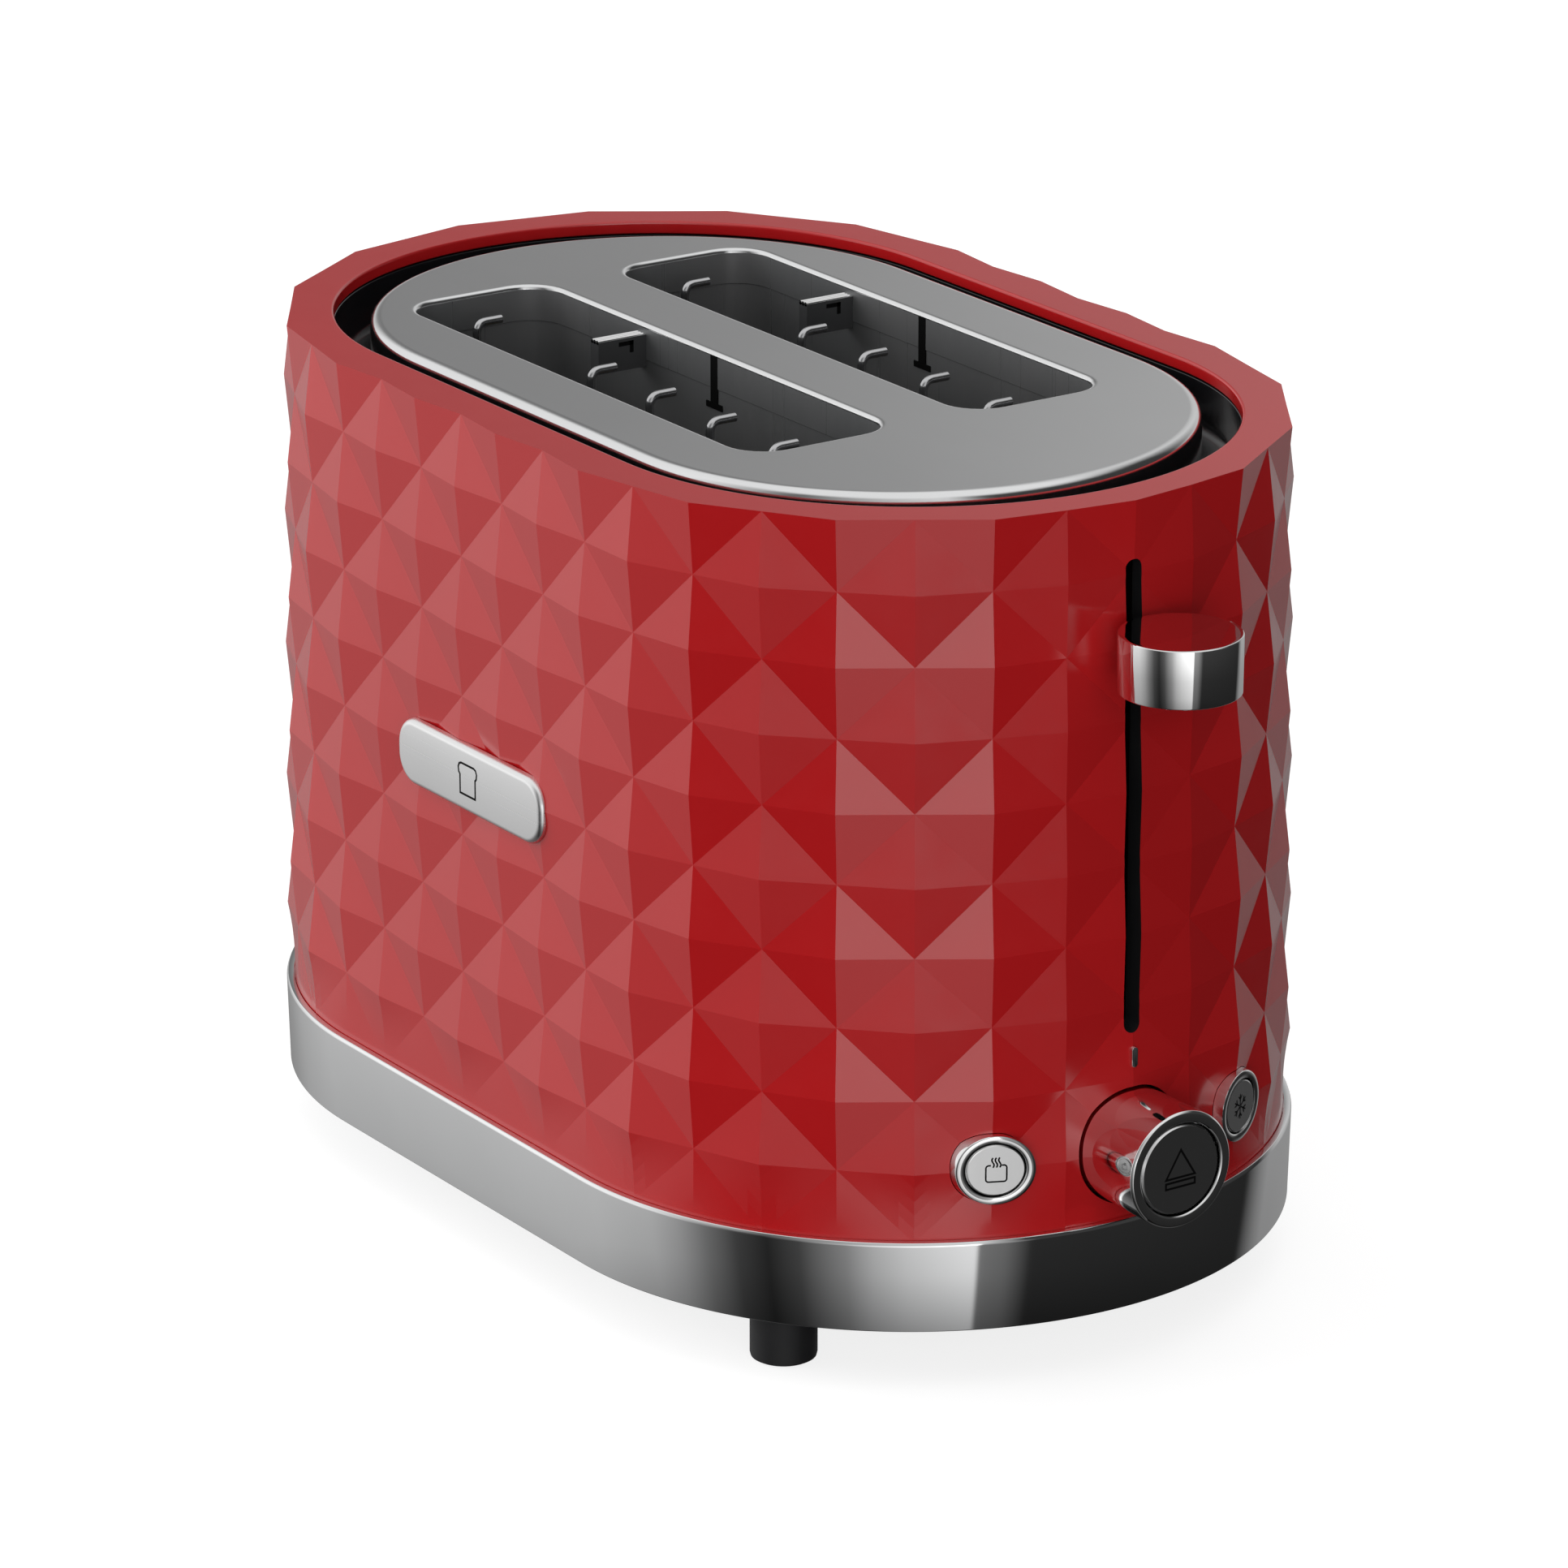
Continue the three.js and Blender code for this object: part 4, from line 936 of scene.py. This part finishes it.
def build_badge():
    """A blank plate with softly rolled edges and a plain bread-slice outline."""
    low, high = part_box("badge")
    centre = (low + high) / 2
    length, height = high.x - low.x, high.z - low.z
    rings = []
    roll = 1.5 * MM
    layers = [(0, high.y)]
    layers += [(roll * (1 - math.cos(t)), low.y + roll * (1 - math.sin(t))) for t in quarter_turn(6)]
    for inset, y in layers:
        corner = height / 2 - 1 * MM - inset
        outline = rounded_rect(centre.x, centre.z, length - 2 * inset, height - 2 * inset, corner, 12)
        rings.append([(x, y, z) for x, z in outline])
    bm = bmesh.new()
    add_rings(bm, rings, caps=(True, True))
    placed(finished("badge_skin", bm, BADGE_STEEL, 40), "housing", "bright_chrome", "badge")
    bm = bmesh.new()
    a, b = 3.7 * MM, 3.5 * MM
    outline = [(-a * 0.85, -b), (a * 0.85, -b), (a * 0.85, b * 0.25)]
    outline += [(a * (0.72 + 0.32 * math.cos(t)), b * (0.62 + 0.42 * math.sin(t)))
                for t in (-0.6, 0.2, 0.9, 1.57)]
    outline += [(-x, z) for x, z in reversed(outline[2:])]
    icon_grooves(bm, [(outline, True)], lambda p, q, h: (centre.x + p, low.y - h, centre.z + q),
                 0.5 * MM, 0.03 * MM)
    placed(finished("badge_icon", bm, ENGRAVED), "housing", "black_plastic")


# ---------------------------------------------------------------- bread guards and spring
def guard_hook(x, y, top):
    """A wire's bent top: up, over towards +Y, and a straight tail."""
    bend, tail = 2.2 * MM, 4.4 * MM
    points = [(x, y + bend * (1 - math.cos(t)), top - bend * (1 - math.sin(t))) for t in quarter_turn(6)]
    return points + [(x, y + bend + tail, top)]


def build_guards():
    first = SLOT.x - WIRE_PITCH * (WIRES - 1) / 2
    wire_r = 1.0 * MM
    rail_z, overhang = 150 * MM, 6 * MM
    for side in SLOT_Y:
        for kind in ("hooked", "plain"):
            node = f"guard_{side}_slot_{kind}"
            low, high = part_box(node)
            y = low.y + wire_r
            bm = bmesh.new()
            last = first + WIRE_PITCH * (WIRES - 1)
            for z in (low.z + wire_r, rail_z):
                add_tube(bm, [(first - overhang, y, z), (last + overhang, y, z)], wire_r)
            for i in range(WIRES):
                x = first + i * WIRE_PITCH
                if kind == "hooked" and i != BARE_WIRE:
                    points = [(x, y, low.z), *guard_hook(x, y, high.z - wire_r)]
                else:
                    points = [(x, y, low.z), (x, y, PLAIN_TOP)]
                add_tube(bm, points, wire_r, 12)
            skin = finished(f"guard_skin_{side}_{kind}", bm, GUARD_WIRE, 50)
            placed(skin, f"guard_{side}_{kind}", "wire_steel", node)


def build_spring():
    low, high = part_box("return_spring")
    centre = (low + high) / 2
    wire_r, turns, per_turn = 0.7 * MM, 9, 20
    r = (high.x - low.x) / 2 - wire_r
    points = []
    for k in range(turns * per_turn + 1):
        t = k / (turns * per_turn)
        angle = 2 * math.pi * turns * t
        z = low.z + wire_r + (high.z - low.z - 2 * wire_r) * t
        points.append((centre.x + r * math.cos(angle), centre.y + r * math.sin(angle), z))
    bm = bmesh.new()
    add_tube(bm, points, wire_r, 8)
    spring = placed(finished("spring_coil", bm, SPRING_STEEL, 60), "housing", "wire_steel", "return_spring")
    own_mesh(spring)


# ---------------------------------------------------------------- CAD nodes that keep their shape
KEPT = [
    (MATT_BLACK, ["base_plate", "cancel_switch", "reheat_switch", "defrost_switch", "potentiometer",
                  "terminal_block"]),
    (SPRING_STEEL, ["base_screw_front_near", "base_screw_front_far", "base_screw_rear_near",
                    "base_screw_rear_far", "armature_plate"]),
    (RUBBER, ["cord_gland"]),
    (REFLECTOR, ["crumb_tray", "end_plate_front", "end_plate_rear", "reflector_near", "reflector_far",
                 "bread_rack_near", "bread_rack_far", "carriage"]),
    (MICA, ["heater_board_near", "heater_board_centre", "heater_board_far"]),
    (RIBBON, ["heating_ribbon_near", "heating_ribbon_centre_near", "heating_ribbon_centre_far",
              "heating_ribbon_far"]),
    # The lever arm's darkened steel is painted shade.
    (SLOT_SHADE_STEEL, ["lever_arm"]),
    (WIRE, ["guide_rod", "knob_shaft"]),
    (COPPER, ["electromagnet"]),
    (LAMINATE, ["circuit_board"]),
]


def dress_kept_nodes():
    for material, names in KEPT:
        for name in names:
            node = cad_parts[name]
            node.data.materials.clear()
            node.data.materials.append(material)


# ---------------------------------------------------------------- stage, light and camera
def build_floor():
    bm = bmesh.new()
    size = 6.0
    ring = [(size * math.cos(t), size * math.sin(t), 0) for t in full_turn(96)]
    bm.faces.new([bm.verts.new(p) for p in ring])
    material = new_material("pale_floor", (0.3, 0.3, 0.3), 0.9)
    shader = material.node_tree.nodes["Principled BSDF"]
    shader.inputs["Specular IOR Level"].default_value = 0
    shader.inputs["Emission Color"].default_value = (1, 1, 1, 1)
    shader.inputs["Emission Strength"].default_value = 0.82
    floor = finished("floor", bm, material)
    floor.location.z = -0.2 * MM
    floor.visible_glossy = False
    floor.visible_diffuse = False


# How bright the panels are at each elevation in degrees, against their level below the horizon.
LIFT = [(-90, 0.15), (-50, 0.2), (-38, 0.35), (-28, 0.8), (-19, 1.0), (-8, 1.55), (0, 1.9), (10, 1.9)]
OVERHEAD = 0.8


def fill_ramp(ramp, stops):
    """Sets a two-stop ramp to grey levels at rising positions from 0 to 1."""
    for position, _ in stops[1:-1]:
        ramp.elements.new(position)
    for element, (position, level) in zip(ramp.elements, stops):
        element.position = position
        element.color = (level, level, level, 1)


def round_the_compass(stops):
    """Stops at azimuths from -180 degrees up, as ramp positions, closed at +180 as they began."""
    return [((degrees + 180) / 360, level) for degrees, level in stops] + [(1, stops[0][1])]


def add_soft_light(name, azimuth, elevation, size, power):
    """A large square lamp aimed at the object, which mirrors don't show."""
    data = bpy.data.lights.new(name, "AREA")
    data.shape = "SQUARE"
    data.size = size
    data.energy = power
    lamp = bpy.data.objects.new(name, data)
    bpy.context.scene.collection.objects.link(lamp)
    a, e = math.radians(azimuth), math.radians(elevation)
    out = Vector((math.cos(a) * math.cos(e), math.sin(a) * math.cos(e), math.sin(e)))
    lamp.location = out * 2.2 + Vector((0, 0, 0.1))
    lamp.rotation_mode = "QUATERNION"
    lamp.rotation_quaternion = out.to_track_quat("Z", "Y")
    lamp.visible_glossy = False


def build_studio():
    """Soft panels round the object: bright overhead and on the -X -Y side, a dark gap towards +X +Y."""
    world = bpy.data.worlds.new("studio")
    bpy.context.scene.world = world
    world.use_nodes = True
    tree = world.node_tree
    tree.nodes.clear()

    def math_node(operation, *values):
        node = tree.nodes.new("ShaderNodeMath")
        node.operation = operation
        for socket, value in zip(node.inputs, values):
            if isinstance(value, bpy.types.NodeSocket):
                tree.links.new(value, socket)
            else:
                socket.default_value = value
        return node.outputs[0]

    coords = tree.nodes.new("ShaderNodeTexCoord")
    parts = tree.nodes.new("ShaderNodeSeparateXYZ")
    tree.links.new(coords.outputs["Generated"], parts.inputs[0])
    azimuth = math_node("DIVIDE", math_node("ARCTAN2", parts.outputs["Y"], parts.outputs["X"]), 2 * math.pi)
    turn = math_node("ADD", azimuth, 0.5)
    elevation = math_node("ARCSINE", parts.outputs["Z"])

    # Brightness round the horizon, by azimuth in degrees from -X round to -X.
    panels = tree.nodes.new("ShaderNodeValToRGB")
    tree.links.new(turn, panels.inputs[0])
    stops = [(-180, 0.42), (-158, 0.52), (-140, 0.53), (-116, 0.46), (-106, 0.34), (-96, 0.165), (-86, 0.053),
             (-76, 0.02), (-66, 0.06), (-52, 0.25), (-44, 0.46), (-34, 0.64), (-14, 0.88), (-13.3, 0.19),
             (-5, 0.15), (3, 0.025), (88, 0.019), (92, 0.105), (98, 0.22), (104, 0.3), (124, 0.3),
             (142, 0.29), (154, 0.27), (168, 0.33)]
    fill_ramp(panels.color_ramp, round_the_compass(stops))

    # The same above the horizon, where the top plate looks: one long fade behind the object.
    sky = tree.nodes.new("ShaderNodeValToRGB")
    tree.links.new(turn, sky.inputs[0])
    stops = [(-180, 0.8), (-120, 0.85), (-90, 0.4), (-75, 0.1), (-40, 0.5), (-14, 0.7), (0, 0.04), (90, 0.04),
             (128, 0.62), (139, 0.52), (145, 0.28), (152, 0.17), (160, 0.22)]
    fill_ramp(sky.color_ramp, round_the_compass(stops))

    def rise(low, high):
        node = tree.nodes.new("ShaderNodeMapRange")
        node.interpolation_type = "SMOOTHSTEP"
        tree.links.new(elevation, node.inputs["Value"])
        node.inputs["From Min"].default_value = math.radians(low)
        node.inputs["From Max"].default_value = math.radians(high)
        return node.outputs["Result"]

    def mixed(share, low, high):
        below = math_node("MULTIPLY", low, math_node("SUBTRACT", 1.0, share))
        return math_node("ADD", below, math_node("MULTIPLY", share, high))

    lift = tree.nodes.new("ShaderNodeValToRGB")
    tree.links.new(math_node("ADD", math_node("DIVIDE", elevation, math.pi), 0.5), lift.inputs[0])
    fill_ramp(lift.color_ramp, [((degrees + 90) / 180, level / 2) for degrees, level in LIFT])
    low_panels = math_node("MULTIPLY", panels.outputs[0], math_node("MULTIPLY", lift.outputs[0], 2.0))
    round_about = mixed(rise(4, 14), low_panels, sky.outputs[0])
    level = mixed(rise(35, 60), round_about, OVERHEAD)
    lit = tree.nodes.new("ShaderNodeBackground")
    lit.inputs["Color"].default_value = (1, 1, 1, 1)
    tree.links.new(level, lit.inputs["Strength"])
    plain = tree.nodes.new("ShaderNodeBackground")
    plain.inputs["Color"].default_value = (1, 1, 1, 1)
    seen = tree.nodes.new("ShaderNodeLightPath")
    mix = tree.nodes.new("ShaderNodeMixShader")
    tree.links.new(seen.outputs["Is Camera Ray"], mix.inputs[0])
    tree.links.new(lit.outputs[0], mix.inputs[1])
    tree.links.new(plain.outputs[0], mix.inputs[2])
    out = tree.nodes.new("ShaderNodeOutputWorld")
    tree.links.new(mix.outputs[0], out.inputs[0])


def build_camera():
    data = bpy.data.cameras.new("camera")
    data.sensor_width = 36
    data.lens = 170
    data.dof.use_dof = False
    camera = bpy.data.objects.new("camera", data)
    bpy.context.scene.collection.objects.link(camera)
    azimuth, elevation = math.radians(55.70), math.radians(19.32)
    back = Vector((math.sin(azimuth) * math.cos(elevation), -math.cos(azimuth) * math.cos(elevation),
                   math.sin(elevation)))
    camera.location = (1.3150, -0.9039, 0.6572)
    camera.rotation_mode = "QUATERNION"
    camera.rotation_quaternion = (-back).to_track_quat("-Z", "Y")
    bpy.context.scene.camera = camera


bpy.context.scene.view_settings.view_transform = "Standard"
build_camera()
build_studio()
add_soft_light("side_light", -132, 10, 2.0, 34)
add_soft_light("back_light", -166, 10, 2.0, 12)
add_soft_light("far_light", 122, 10, 2.0, 12)
add_soft_light("front_light", -30, 6, 2.0, 26)
add_soft_light("top_light", 0, 88, 2.0, 6)
build_floor()
build_shell()
build_top_plate()
build_collar()
for slot_side, slot_y in SLOT_Y.items():
    build_liner(slot_side, slot_y)
    build_slot_details(slot_side, slot_y)
build_band()
build_tray_front()
build_feet()
build_knob()
build_cancel_button()
build_side_button("reheat", -1, toast_icon())
build_side_button("defrost", 1, flake_icon())
build_lever()
build_index_mark()
build_badge()
build_guards()
build_spring()
dress_kept_nodes()
